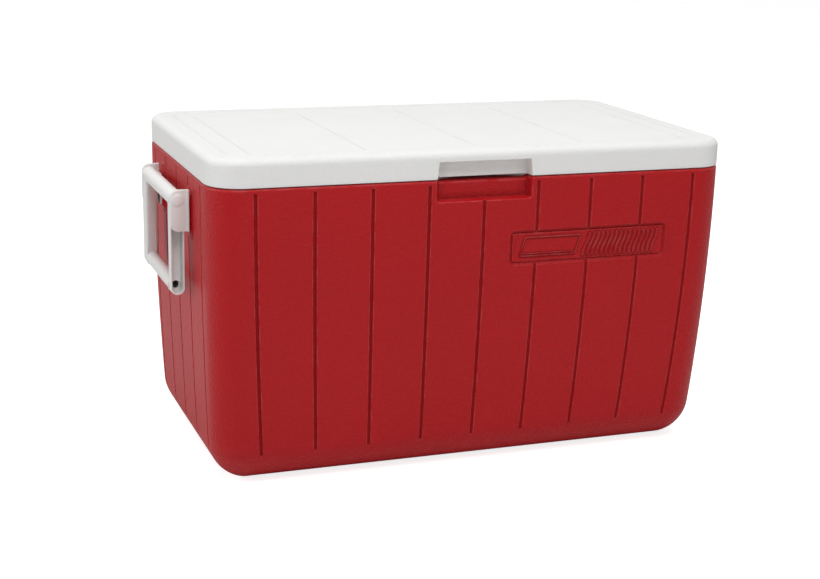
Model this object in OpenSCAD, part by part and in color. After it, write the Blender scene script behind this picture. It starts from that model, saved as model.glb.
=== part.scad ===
// Camping ice chest: insulated body, hinged lid, swing-up end handles, drain.
// Millimetres. Origin at the middle of the base, X along the length,
// front wall toward -Y, Z up.

/* [Body] */
// Length of the body at its rim
chest_l = 650; // [580:5:760]
// Depth of the body at its rim, front to back
chest_w = 376; // [340:2:440]
// Height of the rim above the ground
rim_h = 362; // [330:2:430]
// How much each end wall draws in toward the ground
draft_l = 10; // [4:0.5:14]
// How much the front and rear walls draw in toward the ground
draft_w = 23; // [8:0.5:28]
// Radius of the upright corners
corner_r = 41; // [34:1:56]
// Radius of the rounded bottom edge
foot_r = 48; // [34:1:56]
// Wall of the outer shell
shell_t = 3; // [2:0.25:4]
// Width of the flat lip round the top of the shell
lip_w = 14; // [11:0.5:18]
// Clearance between pieces that only rest on each other
fit = 0.3; // [0.2:0.05:0.4]

/* [Planks] */
// Spacing of the front and rear grooves at the rim
plank = 68.8; // [60:0.2:72]
// Spacing of the end wall grooves
end_plank = 65; // [56:0.5:66]
// Width of a groove
groove_w = 3; // [1.5:0.25:5]
// Depth of a groove
groove_d = 1.3; // [0.6:0.1:1.6]
// Distance from the rim to the top of a groove
groove_top = 6; // [4:0.5:16]
// Height of the lower end of a groove above the ground
groove_foot = 40; // [30:1:70]

/* [Grip recess] */
// Width of the finger recess at the front
recess_w = 116; // [90:1:130]
// Height of the recess in the body
recess_h = 25; // [18:0.5:34]
// Depth of the recess in the body
recess_d = 9.5; // [7:0.5:10]
// Height of the notch in the lid
notch_h = 19; // [14:0.5:22]
// Depth of the notch in the lid
notch_d = 13; // [11:0.5:14]
// How much wider the notch is at the bottom than at the top, each side
notch_flare = 3; // [0:0.5:5]

/* [Tub] */
// Total wall at the rim, outer face to tub
wall_rim = 42; // [38:0.5:50]
// Height of the tub floor above the ground
floor_z = 50; // [44:1:64]
// How much the tub walls draw in toward its floor
tub_draft = 16; // [6:0.5:20]
// Wall of the tub
tub_t = 2.5; // [2:0.25:3.5]
// Radius of the tub's upright corners
tub_r = 34; // [26:1:44]
// Radius round the tub floor
tub_foot_r = 20; // [14:1:26]
// How far the tub's rim stands above the shell
rim_rise = 1.3; // [0.8:0.1:1.6]

/* [Lid] */
// Height of the lid cover
lid_h = 32; // [29:0.5:42]
// Wall of the lid cover
lid_t = 3; // [2:0.25:3.5]
// Radius round the top edge of the lid
lid_r = 9; // [6:0.5:11]
// How far the lid's plug reaches below the rim
plug_h = 9; // [5:0.5:14]
// Clearance between the plug and the tub wall
plug_gap = 3; // [2:0.5:5]
// Number of lines across the lid's top
lid_lines = 5; // [3:2:7]
// Spacing of the lines across the lid's top
lid_line_pitch = 137; // [110:1:140]

/* [Hinges] */
// Distance of each hinge from the middle
hinge_x = 200; // [160:1:215]
// Length of a hinge barrel
hinge_l = 62; // [54:1:72]
// Thickness of the hinge leaves
leaf_t = 3; // [2.5:0.25:3.5]
// Height of the body leaf below its barrel
leaf_h = 40; // [32:1:50]
// Radius of the barrel
barrel_r = 5; // [4.5:0.1:5.5]
// Radius of the hinge pin
hinge_pin_r = 2; // [1.6:0.1:2.4]
// Length of the stop fin on the lid's barrel, from the pin's axis
fin_r = 9; // [8.5:0.1:10]

/* [Handles] */
// Width of a handle over its arms
handle_w = 168; // [150:1:190]
// Distance from the pivot to the grip
handle_drop = 105.5; // [90:0.5:125]
// Height of the pivot above the ground
pivot_z = 332.5; // [310:0.5:334]
// Distance of the pivot from the wall at the rim
pivot_out = 17; // [16.8:0.1:19]
// Width of an arm
arm_w = 17; // [17:0.5:19]
// Depth of an arm's channel section
arm_d = 16; // [14:0.5:18]
// Wall of the channel
arm_t = 2.2; // [1.8:0.1:2.3]
// Radius of the top bar
bar_r = 9.2; // [8.8:0.1:10]
// Outer radius of the grip tube
grip_r = 8.3; // [7.8:0.1:8.4]
// Bore of the grip tube
grip_bore_r = 6; // [5:0.1:6.1]
// Radius of a pivot pin
pivot_r = 4; // [3.5:0.1:4.2]
// Radius of the stop key on a pivot pin
key_r = 6.3; // [6:0.1:6.6]
// How far a handle swings up
swing_up = 100; // [80:1:110]
// How far a handle swings in toward the wall
swing_in = 1; // [0.5:0.25:1.25]

/* [Brackets] */
// Thickness of the raised pad under a bracket
pad_t = 3.5; // [3:0.1:4]
// Thickness of a bracket's foot
foot_t = 2.5; // [2.2:0.1:3]
// Thickness of a bracket's ear
ear_t = 4; // [3.5:0.1:5]
// Height of the boss over a pivot
boss_h = 2.4; // [2:0.1:3.5]
// Height of a bracket
bracket_h = 49.5; // [46:0.5:52]
// Width of a bracket's foot behind the arm
bracket_w = 20; // [20:0.5:28]

/* [Screws] */
// Radius of a screw's shank
screw_r = 1.6; // [1.3:0.1:2]
// Radius of a screw's head
screw_head_r = 3.4; // [3:0.1:4]
// Length of a screw under its head
screw_l = 14; // [12:0.5:20]

/* [Badge] */
// Length of the badge
badge_l = 205; // [170:1:208]
// Height of the badge
badge_h = 37; // [30:0.5:44]
// Distance of the badge's middle from the middle of the chest
badge_x = 139.5; // [130:0.5:160]
// Height of the badge's middle above the ground
badge_z = 276; // [240:1:285]
// Depth of the badge's pocket
badge_d = 1.6; // [1.4:0.1:1.8]
// Number of bars on the badge
badge_bars = 15; // [9:1:17]

/* [Drain] */
// Height of the drain above the ground
drain_z = 68; // [66:0.5:76]
// Bore of the drain
drain_bore_r = 6.5; // [5:0.25:7.5]
// Wall of the drain tube
drain_t = 2.2; // [1.8:0.1:3]
// Length of the spout outside its flange
spout_l = 13; // [10:0.5:14]
// Radius of the drain's flange and nut
drain_flange_r = 15.5; // [14:0.25:16]
// Thickness of the drain's flange and nut
drain_flange_t = 3; // [2.5:0.25:4]
// Wall of the drain cap
cap_t = 2.5; // [2:0.25:3]
// Thickness of the drain's rubber washer
washer_t = 2; // [1.5:0.25:3]

/* [Hidden] */

eps = 0.02;
run = 0.1;                                   // running clearance of a pin
seam = rim_rise + fit;                       // gap between body and lid
lid_z = rim_h + seam;                        // underside of the lid
lid_top = lid_z + lid_h;
arc_n = 8;                                   // steps round an upright corner
foot_n = 6;                                  // steps round a bottom edge
wall_n = 5;                                  // steps up a curved wall

red = [0.80, 0.02, 0.03];
white = [0.93, 0.93, 0.91];
cream = [0.93, 0.88, 0.70];
steel = [0.70, 0.71, 0.73];
rubber = [0.12, 0.12, 0.13];

// ---- outlines and lofts -------------------------------------------------

// Points of a rounded rectangle, counter-clockwise.
function rr(hx, hy, r) = [for (c = [0:3]) for (k = [0:arc_n])
    let (a = c * 90 + k * 90 / arc_n,
         cx = (c == 0 || c == 3 ? 1 : -1) * (hx - r),
         cy = (c < 2 ? 1 : -1) * (hy - r))
    [cx + r * cos(a), cy + r * sin(a)]];

// Solid through a stack of rings, each [z, half x, half y, corner radius].
module loft(rings) {
    m = 4 * (arc_n + 1);
    n = len(rings);
    polyhedron(
        points = [for (g = rings) for (p = rr(g[1], g[2], g[3]))
                  [p[0], p[1], g[0]]],
        faces = concat(
            [[for (j = [0:m - 1]) j]],
            [for (i = [0:n - 2]) for (j = [0:m - 1]) for (h = [0:1])
                let (a = i * m + j, b = i * m + (j + 1) % m, c = a + m, d = b + m)
                h == 0 ? [a, c, d] : [a, d, b]],
            [[for (j = [m - 1:-1:0]) (n - 1) * m + j]]));
}

// Half length and half depth of the outer wall at a height.
function wall_x(z) = chest_l / 2 - draft_l * pow(1 - z / rim_h, 2);
function wall_y(z) = chest_w / 2 - draft_w * pow(1 - z / rim_h, 2);

// Rings of the body's outside moved in by a distance, up to a height.
function body_rings(inset, top) = concat(
    [for (k = [0:foot_n]) let (a = k * 90 / foot_n, rf = foot_r - inset,
        z = inset + rf * (1 - cos(a)), e = inset + rf * (1 - sin(a)))
        [z, wall_x(z) - e, wall_y(z) - e, max(corner_r - e, 8)]],
    [for (k = [1:wall_n]) let (z = foot_r + (top - foot_r) * k / wall_n)
        [z, wall_x(z) - inset, wall_y(z) - inset, corner_r - inset]]);

// Half length and half depth of the tub's inside at a height.
function tub_x(z) = chest_l / 2 - wall_rim - tub_draft * (rim_h - z) / (rim_h - floor_z);
function tub_y(z) = chest_w / 2 - wall_rim - tub_draft * (rim_h - z) / (rim_h - floor_z);

// Rings of the tub moved out by a distance, up to a height.
function tub_rings(out, top) = concat(
    [for (k = [0:foot_n]) let (a = k * 90 / foot_n, rf = tub_foot_r + out,
        z = floor_z - out + rf * (1 - cos(a)), e = rf * (1 - sin(a)) - out)
        [z, tub_x(z) - e, tub_y(z) - e, max(tub_r - e, 6)]],
    [[top, tub_x(top) + out, tub_y(top) + out, tub_r + out]]);

// Rings of the lid's outside moved in by a distance, from a height.
function lid_rings(inset, from) = concat(
    [[from, chest_l / 2 - inset, chest_w / 2 - inset, corner_r - inset]],
    [for (k = [0:foot_n]) let (a = k * 90 / foot_n, rf = lid_r - inset,
        e = inset + rf * (1 - cos(a)), z = lid_top - inset - rf * (1 - sin(a)))
        [z, chest_l / 2 - e, chest_w / 2 - e, corner_r - e]]);

// Straight-sided rounded block.
module block(hx, hy, r, z0, z1)
    translate([0, 0, z0]) linear_extrude(z1 - z0) polygon(rr(hx, hy, r));

// Copies at each end of a sign list.
module at_x(x) for (s = [-1, 1]) translate([s * x, 0, 0]) children();

// ---- screws -------------------------------------------------------------

// A screw pointing down -Z with its head's face at z = 0.
module screw(head_h, extra = 0) {
    translate([0, 0, -screw_l - extra]) cylinder(r = screw_r + extra, h = screw_l + extra + eps, $fn = 24);
    translate([0, 0, -head_h - extra]) cylinder(r1 = screw_r + extra, r2 = screw_head_r + extra, h = head_h + extra + eps, $fn = 24);
}
head_h = 1.9;

// Body leaf screws, lid leaf screws: pointing forward from the rear.
leaf_face = chest_w / 2 + fit + leaf_t;
axis_y = leaf_face - leaf_t + barrel_r + fit;
axis_z = rim_h + seam / 2;
lid_leaf_h = min(lid_h - lid_r, 23);
hole_x = hinge_l / 2 - 12;
module body_leaf_screws(extra = 0)
    for (s = [-1, 1]) for (k = [-1, 1]) for (h = [0.3, 0.8])
        translate([s * hinge_x + k * hole_x, leaf_face, axis_z - barrel_r - leaf_h * h])
            rotate([-90, 0, 0]) screw(head_h, extra);
module lid_leaf_screws(extra = 0)
    for (s = [-1, 1]) for (k = [-1, 1])
        translate([s * hinge_x + k * hole_x, leaf_face, axis_z + barrel_r + fit + (lid_leaf_h - barrel_r) / 2])
            rotate([-90, 0, 0]) screw(head_h, extra);

// Bracket screws on the left end, pointing inward.
pad_x = chest_l / 2 + pad_t;
foot_x = pad_x + fit + foot_t;
ear_in = handle_w / 2 + 2 * fit;
ear_out = ear_in + ear_t;
pivot_x = chest_l / 2 + pivot_out;
bracket_top = pivot_z + bar_r + 3.3;
bracket_low = bracket_top - bracket_h;
screw_y = handle_w / 2 - arm_d / 2;
foot_top = pivot_z + 2;                      // the foot stays lower than the ear
pad_low = bracket_low + 1;
pad_high = foot_top - 1;
module end_screws(extra = 0)
    for (s = [-1, 1]) for (h = [0, 1])
        translate([-foot_x, s * screw_y, bracket_low + 8 + h * 15])
            rotate([0, -90, 0]) screw(head_h, extra);

// ---- body ---------------------------------------------------------------

// One upright groove's side outline, following the wall's curve.
module groove_strip(y_of_wall, foot) {
    n = 8;
    z1 = rim_h - groove_top;
    zs = [for (k = [0:n]) foot + (z1 - foot) * k / n];
    polygon(concat(
        [for (z = zs) [y_of_wall - groove_d - (y_of_wall == chest_w / 2 ? chest_w / 2 - wall_y(z) : chest_l / 2 - wall_x(z)), z]],
        [for (k = [n:-1:0]) [y_of_wall + 4, zs[k]]]));
}

module front_grooves() {
    lean = atan(0.05 * plank / rim_h);
    for (side = [0, 180]) rotate([0, 0, side])
        for (k = [-4:4])
            translate([k * plank, 0, rim_h]) rotate([0, -k * lean, 0]) translate([0, 0, -rim_h])
                rotate([90, 0, -90]) translate([0, 0, -groove_w / 2])
                    linear_extrude(groove_w) groove_strip(chest_w / 2, groove_foot);
}

module end_grooves() {
    lean = atan(0.05 * end_plank / rim_h);
    for (side = [0, 180]) rotate([0, 0, side])
        for (k = [-2:2])
            translate([0, k * end_plank, rim_h]) rotate([-k * lean, 0, 0]) translate([0, 0, -rim_h])
                rotate([90, 0, 0]) translate([0, 0, -groove_w / 2])
                    linear_extrude(groove_w) groove_strip(chest_l / 2, groove_foot);
}

// Raised pads for the handle brackets and the drain.
module end_pads()
    for (s = [-1, 1]) for (t = [-1, 1])
        translate([s * (pad_x - 6), t * (ear_out - bracket_w / 2), (pad_high + pad_low) / 2])
            rotate([0, s * 90, 0]) linear_extrude(6)
                polygon(rr((pad_high - pad_low) / 2, bracket_w / 2 - 1, 4));

drain_pad_x = wall_x(drain_z) + 2.4;
module drain_pad()
    translate([drain_pad_x - 8, 0, drain_z]) rotate([0, 90, 0])
        cylinder(r = drain_flange_r + 2, h = 8, $fn = 48);

// Finger recess: the pocket in the body and the wall round it.
module recess_cut()
    translate([-recess_w / 2, -chest_w / 2 - 5, rim_h - recess_h])
        cube([recess_w, recess_d + 5, recess_h + 5]);
module recess_wall(extra = 0)
    translate([-recess_w / 2 - shell_t - extra, -chest_w / 2 - 1, rim_h - recess_h - shell_t - extra])
        cube([recess_w + 2 * shell_t + 2 * extra, recess_d + shell_t + 1 + extra, recess_h + shell_t + 1 + extra]);

// The badge's outline: slanted left end, square right end.
badge_slant = 7;
function badge_pts(in) = [
    [-badge_l / 2 + in, -badge_h / 2 + in], [badge_l / 2 - in, -badge_h / 2 + in],
    [badge_l / 2 - in, badge_h / 2 - in], [-badge_l / 2 + badge_slant + in, badge_h / 2 - in]];
badge_lean = atan((wall_y(badge_z + badge_h / 2) - wall_y(badge_z - badge_h / 2)) / badge_h);
module on_badge() translate([badge_x, -wall_y(badge_z), badge_z])
    rotate([90 + badge_lean, 0, 0]) children();

module body_shell() color(red) difference() {
    union() {
        difference() {
            loft(body_rings(0, rim_h));
            loft(body_rings(shell_t, rim_h - shell_t));
            block(chest_l / 2 - lip_w, chest_w / 2 - lip_w, corner_r - lip_w + 2, rim_h - shell_t - 1, rim_h + 1);
        }
        end_pads();
        drain_pad();
        intersection() { loft(body_rings(shell_t - 1, rim_h - 0.01)); recess_wall(); }
    }
    recess_cut();
    front_grooves();
    end_grooves();
    on_badge() translate([0, 0, -badge_d]) linear_extrude(badge_d + 4) polygon(badge_pts(0));
    body_leaf_screws(run);
    end_screws(run);
    rotate([0, 0, 180]) end_screws(run);
    drain_hole(run);
}

module body_foam() color(cream) difference() {
    loft(body_rings(shell_t + fit, rim_h - shell_t - fit));
    loft(tub_rings(tub_t + fit, rim_h));
    drain_boss(tub_t + fit);
    recess_wall(fit);
    body_leaf_screws(fit);
    end_screws(fit);
    rotate([0, 0, 180]) end_screws(fit);
    drain_hole(fit);
    translate([drain_pad_x - 8 - fit, 0, drain_z]) rotate([0, 90, 0])
        cylinder(r = drain_flange_r + 2 + fit, h = 20, $fn = 48);
    for (s = [-1, 1]) for (t = [-1, 1])
        translate([s * (pad_x - 6 - fit), t * (ear_out - bracket_w / 2), (pad_high + pad_low) / 2])
            rotate([0, s * 90, 0]) linear_extrude(12)
                polygon(rr((pad_high - pad_low) / 2 + fit, bracket_w / 2 - 1 + fit, 4));
}

// Flat-faced boss inside the tub for the drain's nut.
boss_x = tub_x(drain_z) - 9;
module drain_boss(out = 0)
    translate([boss_x + (out > 0 ? out : 0), -drain_flange_r - 2 - out, floor_z - (out > 0 ? out : tub_t)])
        cube([30 - 2 * fit, 2 * drain_flange_r + 4 + 2 * out, drain_z + drain_flange_r + 2 - floor_z + 2 * out]);

module body_liner() color(white) difference() {
    union() {
        loft(tub_rings(tub_t, rim_h + rim_rise - 0.5));
        intersection() { loft(tub_rings(tub_t, rim_h)); drain_boss(); }
        block(chest_l / 2 - lip_w - fit, chest_w / 2 - lip_w - fit, corner_r - lip_w + 2, rim_h - shell_t, rim_h + rim_rise);
    }
    difference() {
        loft(tub_rings(0, rim_h + rim_rise + 2));
        drain_boss();
    }
    drain_hole(run);
}

module badge_plate() color(red) on_badge() translate([0, 0, -badge_d + 0.1]) {
    split = -badge_l / 2 + badge_l * 0.40;
    bar_gap = (badge_l / 2 - 8 - split - 4) / badge_bars;
    difference() {
        linear_extrude(badge_d - 0.6) polygon(badge_pts(fit));
        // the bare name panel
        translate([0, 0, badge_d - 0.9]) linear_extrude(2)
            polygon([[-badge_l / 2 + 11, -badge_h / 2 + 7], [split - 8, -badge_h / 2 + 7],
                     [split - 4, badge_h / 2 - 7], [-badge_l / 2 + 15, badge_h / 2 - 7]]);
    }
    for (k = [0:badge_bars - 1]) let (x = split + 2 + k * bar_gap)
        linear_extrude(badge_d - 0.1)
            polygon([[x, -badge_h / 2 + 5], [x + bar_gap * 0.45, -badge_h / 2 + 5],
                     [x + bar_gap * 0.45 + 8, badge_h / 2 - 5], [x + 8, badge_h / 2 - 5]]);
}

// ---- lid ----------------------------------------------------------------

module notch_cut()
    translate([0, -chest_w / 2 - 5, 0]) rotate([90, 0, 0]) translate([0, 0, -notch_d - 5]) linear_extrude(notch_d + 5)
        polygon([[-recess_w / 2 - notch_flare, lid_z - 2], [recess_w / 2 + notch_flare, lid_z - 2],
                 [recess_w / 2 - notch_flare, lid_z + notch_h], [-recess_w / 2 + notch_flare, lid_z + notch_h]]);
module notch_wall(extra = 0)
    translate([-recess_w / 2 - notch_flare - lid_t - extra, -chest_w / 2 - 1, lid_z - 3])
        cube([recess_w + 2 * notch_flare + 2 * lid_t + 2 * extra, notch_d + lid_t + 1 + extra, notch_h + lid_t + 3 + extra]);

module lid_cover() color(white) difference() {
    union() {
        difference() {
            loft(lid_rings(0, lid_z));
            loft(lid_rings(lid_t, lid_z - 1));
        }
        intersection() { loft(lid_rings(lid_t - 1, lid_z)); notch_wall(); }
    }
    notch_cut();
    for (k = [-(lid_lines - 1) / 2:(lid_lines - 1) / 2])
        translate([k * lid_line_pitch - 1.2, -chest_w / 2 + 32, lid_top - 0.6]) cube([2.4, chest_w - 90, 2]);
    lid_leaf_screws(run);
}

module lid_foam() color(cream) difference() {
    union() {
        loft(lid_rings(lid_t + fit, lid_z + tub_t + fit));
        loft([[rim_h - plug_h + tub_t + fit, plug_x - tub_t - fit - 1, plug_y - tub_t - fit - 1, tub_r - plug_gap - tub_t],
              [lid_z + tub_t + 1, plug_x - tub_t - fit, plug_y - tub_t - fit, tub_r - plug_gap - tub_t]]);
    }
    notch_wall(fit);
    lid_leaf_screws(fit);
}

plug_x = tub_x(rim_h - plug_h) - plug_gap;
plug_y = tub_y(rim_h - plug_h) - plug_gap;
module lid_liner() color(white) difference() {
    union() {
        block(chest_l / 2 - lid_t - fit, chest_w / 2 - lid_t - fit, corner_r - lid_t - fit, lid_z, lid_z + tub_t);
        loft([[rim_h - plug_h, plug_x - 1, plug_y - 1, tub_r - plug_gap],
              [lid_z + 1, plug_x, plug_y, tub_r - plug_gap]]);
    }
    loft([[rim_h - plug_h + tub_t, plug_x - tub_t - 1, plug_y - tub_t - 1, tub_r - plug_gap - tub_t + 0.3],
          [lid_z + tub_t + 1, plug_x - tub_t, plug_y - tub_t, tub_r - plug_gap - tub_t + 0.3]]);
    notch_wall(fit);
}

// ---- hinges -------------------------------------------------------------

side_knuckle = 14;
module along_x(x0, x1, r) translate([x0, axis_y, axis_z]) rotate([0, 90, 0])
    cylinder(r = r, h = x1 - x0, $fn = 48);

module body_leaf() color(white) difference() {
    union() {
        translate([-hinge_l / 2, leaf_face - leaf_t, axis_z - barrel_r - leaf_h])
            cube([hinge_l, leaf_t, leaf_h - fit]);
        for (s = [-1, 1]) translate([s > 0 ? hinge_l / 2 - side_knuckle : -hinge_l / 2, leaf_face - leaf_t, axis_z - barrel_r - 1])
            cube([side_knuckle, leaf_t, barrel_r + 1]);
        along_x(-hinge_l / 2, -hinge_l / 2 + side_knuckle, barrel_r);
        along_x(hinge_l / 2 - side_knuckle, hinge_l / 2, barrel_r);
    }
    along_x(-hinge_l, hinge_l, hinge_pin_r + 0.05);
}

module lid_leaf() color(white) difference() {
    mid = hinge_l / 2 - side_knuckle - fit;
    union() {
        translate([-hinge_l / 2, leaf_face - leaf_t, axis_z + barrel_r + fit])
            cube([hinge_l, leaf_t, lid_leaf_h - barrel_r]);
        translate([-mid, leaf_face - leaf_t, axis_z]) cube([2 * mid, leaf_t, barrel_r + 1]);
        along_x(-mid, mid, barrel_r);
        // fin that meets the body leaf when the lid is fully open
        translate([0, axis_y, axis_z]) rotate([15, 0, 0]) translate([-mid + 1, barrel_r - 1.5, -1.25])
            cube([2 * mid - 2, fin_r - barrel_r + 1.5, 2.5]);
    }
    along_x(-hinge_l, hinge_l, hinge_pin_r + run);
}

module hinge_pin() color(steel) along_x(-hinge_l / 2 - 1, hinge_l / 2 + 1, hinge_pin_r);

module hinge_left_body_leaf() difference() { translate([-hinge_x, 0, 0]) body_leaf(); body_leaf_screws(run); }
module hinge_right_body_leaf() difference() { translate([hinge_x, 0, 0]) body_leaf(); body_leaf_screws(run); }
module hinge_left_lid_leaf() difference() { translate([-hinge_x, 0, 0]) lid_leaf(); lid_leaf_screws(run); }
module hinge_right_lid_leaf() difference() { translate([hinge_x, 0, 0]) lid_leaf(); lid_leaf_screws(run); }
module hinge_left_pin() translate([-hinge_x, 0, 0]) hinge_pin();
module hinge_right_pin() translate([hinge_x, 0, 0]) hinge_pin();
module hinge_body_screws() color(steel) body_leaf_screws();
module hinge_lid_screws() color(steel) lid_leaf_screws();

// ---- handles ------------------------------------------------------------

grip_z = pivot_z - handle_drop;
key_a = 20;                                  // half angle of a stop key

module along_y(y0, y1, r) translate([0, y0, 0]) rotate([-90, 0, 0])
    cylinder(r = r, h = y1 - y0, $fn = 48);

// A wedge about the Y axis; 0 degrees points down, positive turns to -X.
module wedge(a0, a1, r, y0, y1) translate([0, y1, 0]) rotate([90, 0, 0]) linear_extrude(y1 - y0)
    polygon(concat([[0, 0]], [for (k = [0:16]) let (a = a0 + (a1 - a0) * k / 16) [-r * sin(a), -r * cos(a)]]));

// One arm with its open channel, its stub pin and its stop key, on +Y.
module arm() {
    difference() {
        union() {
            translate([-arm_w / 2, handle_w / 2 - arm_d, -handle_drop]) cube([arm_w, arm_d, handle_drop]);
            translate([0, 0, -handle_drop]) along_y(handle_w / 2 - arm_d, handle_w / 2, arm_w / 2);
        }
        translate([-arm_w / 2 + arm_t, handle_w / 2 - arm_d + 3, -handle_drop])
            cube([arm_w - 2 * arm_t, arm_d, handle_drop - bar_r]);
        translate([0, 0, -handle_drop])
            along_y(handle_w / 2 - arm_d + 3, handle_w / 2 + 1, arm_w / 2 - arm_t);
    }
    along_y(0, handle_w / 2, bar_r);
    along_y(0, ear_out, pivot_r);
    intersection() {
        along_y(handle_w / 2 - 1, handle_w / 2 + 2.8, key_r);
        wedge(-key_a, key_a, 20, handle_w / 2 - 1, handle_w / 2 + 3);
    }
}

// Left handle; the right one is its mirror image.
module bail() color(white) translate([-pivot_x, 0, pivot_z]) difference() {
    union() {
        arm();
        mirror([0, 1, 0]) arm();
        translate([0, 0, -handle_drop]) along_y(-handle_w / 2 + arm_d, handle_w / 2 - arm_d, grip_r);
    }
    translate([0, 0, -handle_drop]) along_y(-handle_w, handle_w, grip_bore_r);
}

// Outline of an ear, wall side to the right, pivot at the origin.
ear_reach = arm_w / 2;
function ear_pts() = let (w = pivot_x - pad_x - fit, r = 9, t = bracket_top - pivot_z, b = bracket_low - pivot_z) concat(
    [[w, b], [w, t]],
    [for (k = [0:8]) let (a = 90 + k * 11.25) [-ear_reach + r + r * cos(a), t - r + r * sin(a)]],
    [for (k = [0:8]) let (a = 180 + k * 11.25) [-ear_reach + r + r * cos(a), b + r + r * sin(a)]]);

module bracket_rear() color(white) difference() {
    translate([-pivot_x, 0, pivot_z]) difference() {
        union() {
            translate([0, ear_out, 0]) rotate([90, 0, 0]) linear_extrude(ear_t) polygon(ear_pts());
            translate([pivot_x - foot_x, ear_out - bracket_w, bracket_low - pivot_z])
                cube([foot_t, bracket_w, foot_top - bracket_low]);
            translate([pivot_x - foot_x, ear_out - 1, bracket_low - pivot_z])
                cube([foot_t, 3, bracket_h]);
            translate([0, ear_out - 0.5, 0]) rotate([-90, 0, 0])
                cylinder(r1 = arm_w / 2 - 0.1, r2 = arm_w / 2 - 2, h = boss_h + 0.5, $fn = 48);
        }
        along_y(ear_in - 1, ear_out + 0.4, pivot_r + run);
        intersection() {
            along_y(ear_in - 1, handle_w / 2 + 3.1, key_r + fit);
            wedge(-key_a - swing_in - 1.5, key_a + swing_up + 1.5, 20, ear_in - 2, handle_w / 2 + 4);
        }
    }
    end_screws(run);
}
module bracket_front() mirror([0, 1, 0]) bracket_rear();

module handle_left_bail() bail();
module handle_left_bracket_front() bracket_front();
module handle_left_bracket_rear() bracket_rear();
module handle_right_bail() mirror([1, 0, 0]) bail();
module handle_right_bracket_front() mirror([1, 0, 0]) bracket_front();
module handle_right_bracket_rear() mirror([1, 0, 0]) bracket_rear();
module handle_left_screws() color(steel) end_screws();
module handle_right_screws() color(steel) mirror([1, 0, 0]) end_screws();

// ---- drain --------------------------------------------------------------

drain_r = drain_bore_r + drain_t;
flange_x = drain_pad_x + fit;
nut_x = boss_x - fit - washer_t - fit - drain_flange_t;
module drain_x(x0, x1, r, f = 48) translate([x0, 0, drain_z]) rotate([0, 90, 0])
    cylinder(r = r, h = x1 - x0, $fn = f);
module drain_hole(extra = 0) drain_x(boss_x - 1, drain_pad_x + 1, drain_r + extra);

module drain_spout() color(white) difference() {
    union() {
        drain_x(nut_x - 2, flange_x + drain_flange_t + spout_l, drain_r);
        drain_x(flange_x, flange_x + drain_flange_t, drain_flange_r);
    }
    drain_x(nut_x - 10, flange_x + 60, drain_bore_r);
}
module drain_washer() color(rubber) difference() {
    drain_x(boss_x - fit - washer_t, boss_x - fit, drain_flange_r - 1);
    drain_x(boss_x - 20, boss_x + 20, drain_r + run);
}
module drain_nut() color(white) difference() {
    drain_x(nut_x, nut_x + drain_flange_t, drain_flange_r, 6);
    drain_x(nut_x - 10, nut_x + 30, drain_r + run);
}
module drain_cap() color(white) difference() {
    cap_x = flange_x + drain_flange_t + fit;
    union() {
        drain_x(cap_x, cap_x + spout_l + cap_t, drain_r + run + cap_t);
        for (k = [0:11]) translate([cap_x, 0, drain_z]) rotate([k * 30, 0, 0])
            translate([0, -0.8, drain_r + cap_t - 0.6]) cube([spout_l + cap_t - 1, 1.6, 1.6]);
    }
    drain_x(cap_x - 1, cap_x + spout_l, drain_r + run);
}

// ---- assembly -----------------------------------------------------------

body_shell();
body_foam();
body_liner();
badge_plate();
lid_cover();
lid_foam();
lid_liner();
hinge_left_body_leaf();
hinge_left_lid_leaf();
hinge_left_pin();
hinge_right_body_leaf();
hinge_right_lid_leaf();
hinge_right_pin();
hinge_body_screws();
hinge_lid_screws();
handle_left_bail();
handle_left_bracket_front();
handle_left_bracket_rear();
handle_right_bail();
handle_right_bracket_front();
handle_right_bracket_rear();
handle_left_screws();
handle_right_screws();
drain_spout();
drain_washer();
drain_nut();
drain_cap();
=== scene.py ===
"""Camping ice chest: planked red body, white hinged lid, swing-up handles, drain.

Each class is one sub-assembly. Its fields are the sizes, in millimetres as on a
moulder's drawing, and Mould turns them into metres. The frame is the part's
own: origin at the middle of the base, X along the length, front toward -Y.
"""

import logging
import math
from collections.abc import Sequence
from dataclasses import dataclass
from enum import Enum

import bmesh
import bpy
import numpy as np
from mathutils import Matrix, Vector


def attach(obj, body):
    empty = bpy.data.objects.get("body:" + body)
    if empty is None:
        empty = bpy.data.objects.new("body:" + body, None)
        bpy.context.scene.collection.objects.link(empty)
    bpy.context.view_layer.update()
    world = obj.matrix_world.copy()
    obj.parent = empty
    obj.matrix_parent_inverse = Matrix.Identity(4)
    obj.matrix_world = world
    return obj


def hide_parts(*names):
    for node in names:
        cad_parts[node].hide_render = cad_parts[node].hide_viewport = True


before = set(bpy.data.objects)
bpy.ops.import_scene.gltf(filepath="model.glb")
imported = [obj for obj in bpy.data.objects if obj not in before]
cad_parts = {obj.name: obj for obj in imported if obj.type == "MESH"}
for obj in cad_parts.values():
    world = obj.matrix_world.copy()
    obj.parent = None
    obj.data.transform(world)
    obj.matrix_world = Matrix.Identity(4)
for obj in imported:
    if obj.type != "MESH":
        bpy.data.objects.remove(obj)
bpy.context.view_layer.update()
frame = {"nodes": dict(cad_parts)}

Array = np.ndarray
Colour = tuple[float, float, float]
log = logging.getLogger("ice_chest")


# ---- surfaces -----------------------------------------------------------


def ease(t: Array | float) -> Array:
    """Eased step: 3 t squared less 2 t cubed, with t held between 0 and 1."""
    t = np.clip(t, 0.0, 1.0)
    return t * t * (3.0 - 2.0 * t)


def step_at(x: Array, edge: float, width: float) -> Array:
    """Eased step from 0 to 1 across an edge, over the given width."""
    return ease((x - edge) / width + 0.5)


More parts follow.
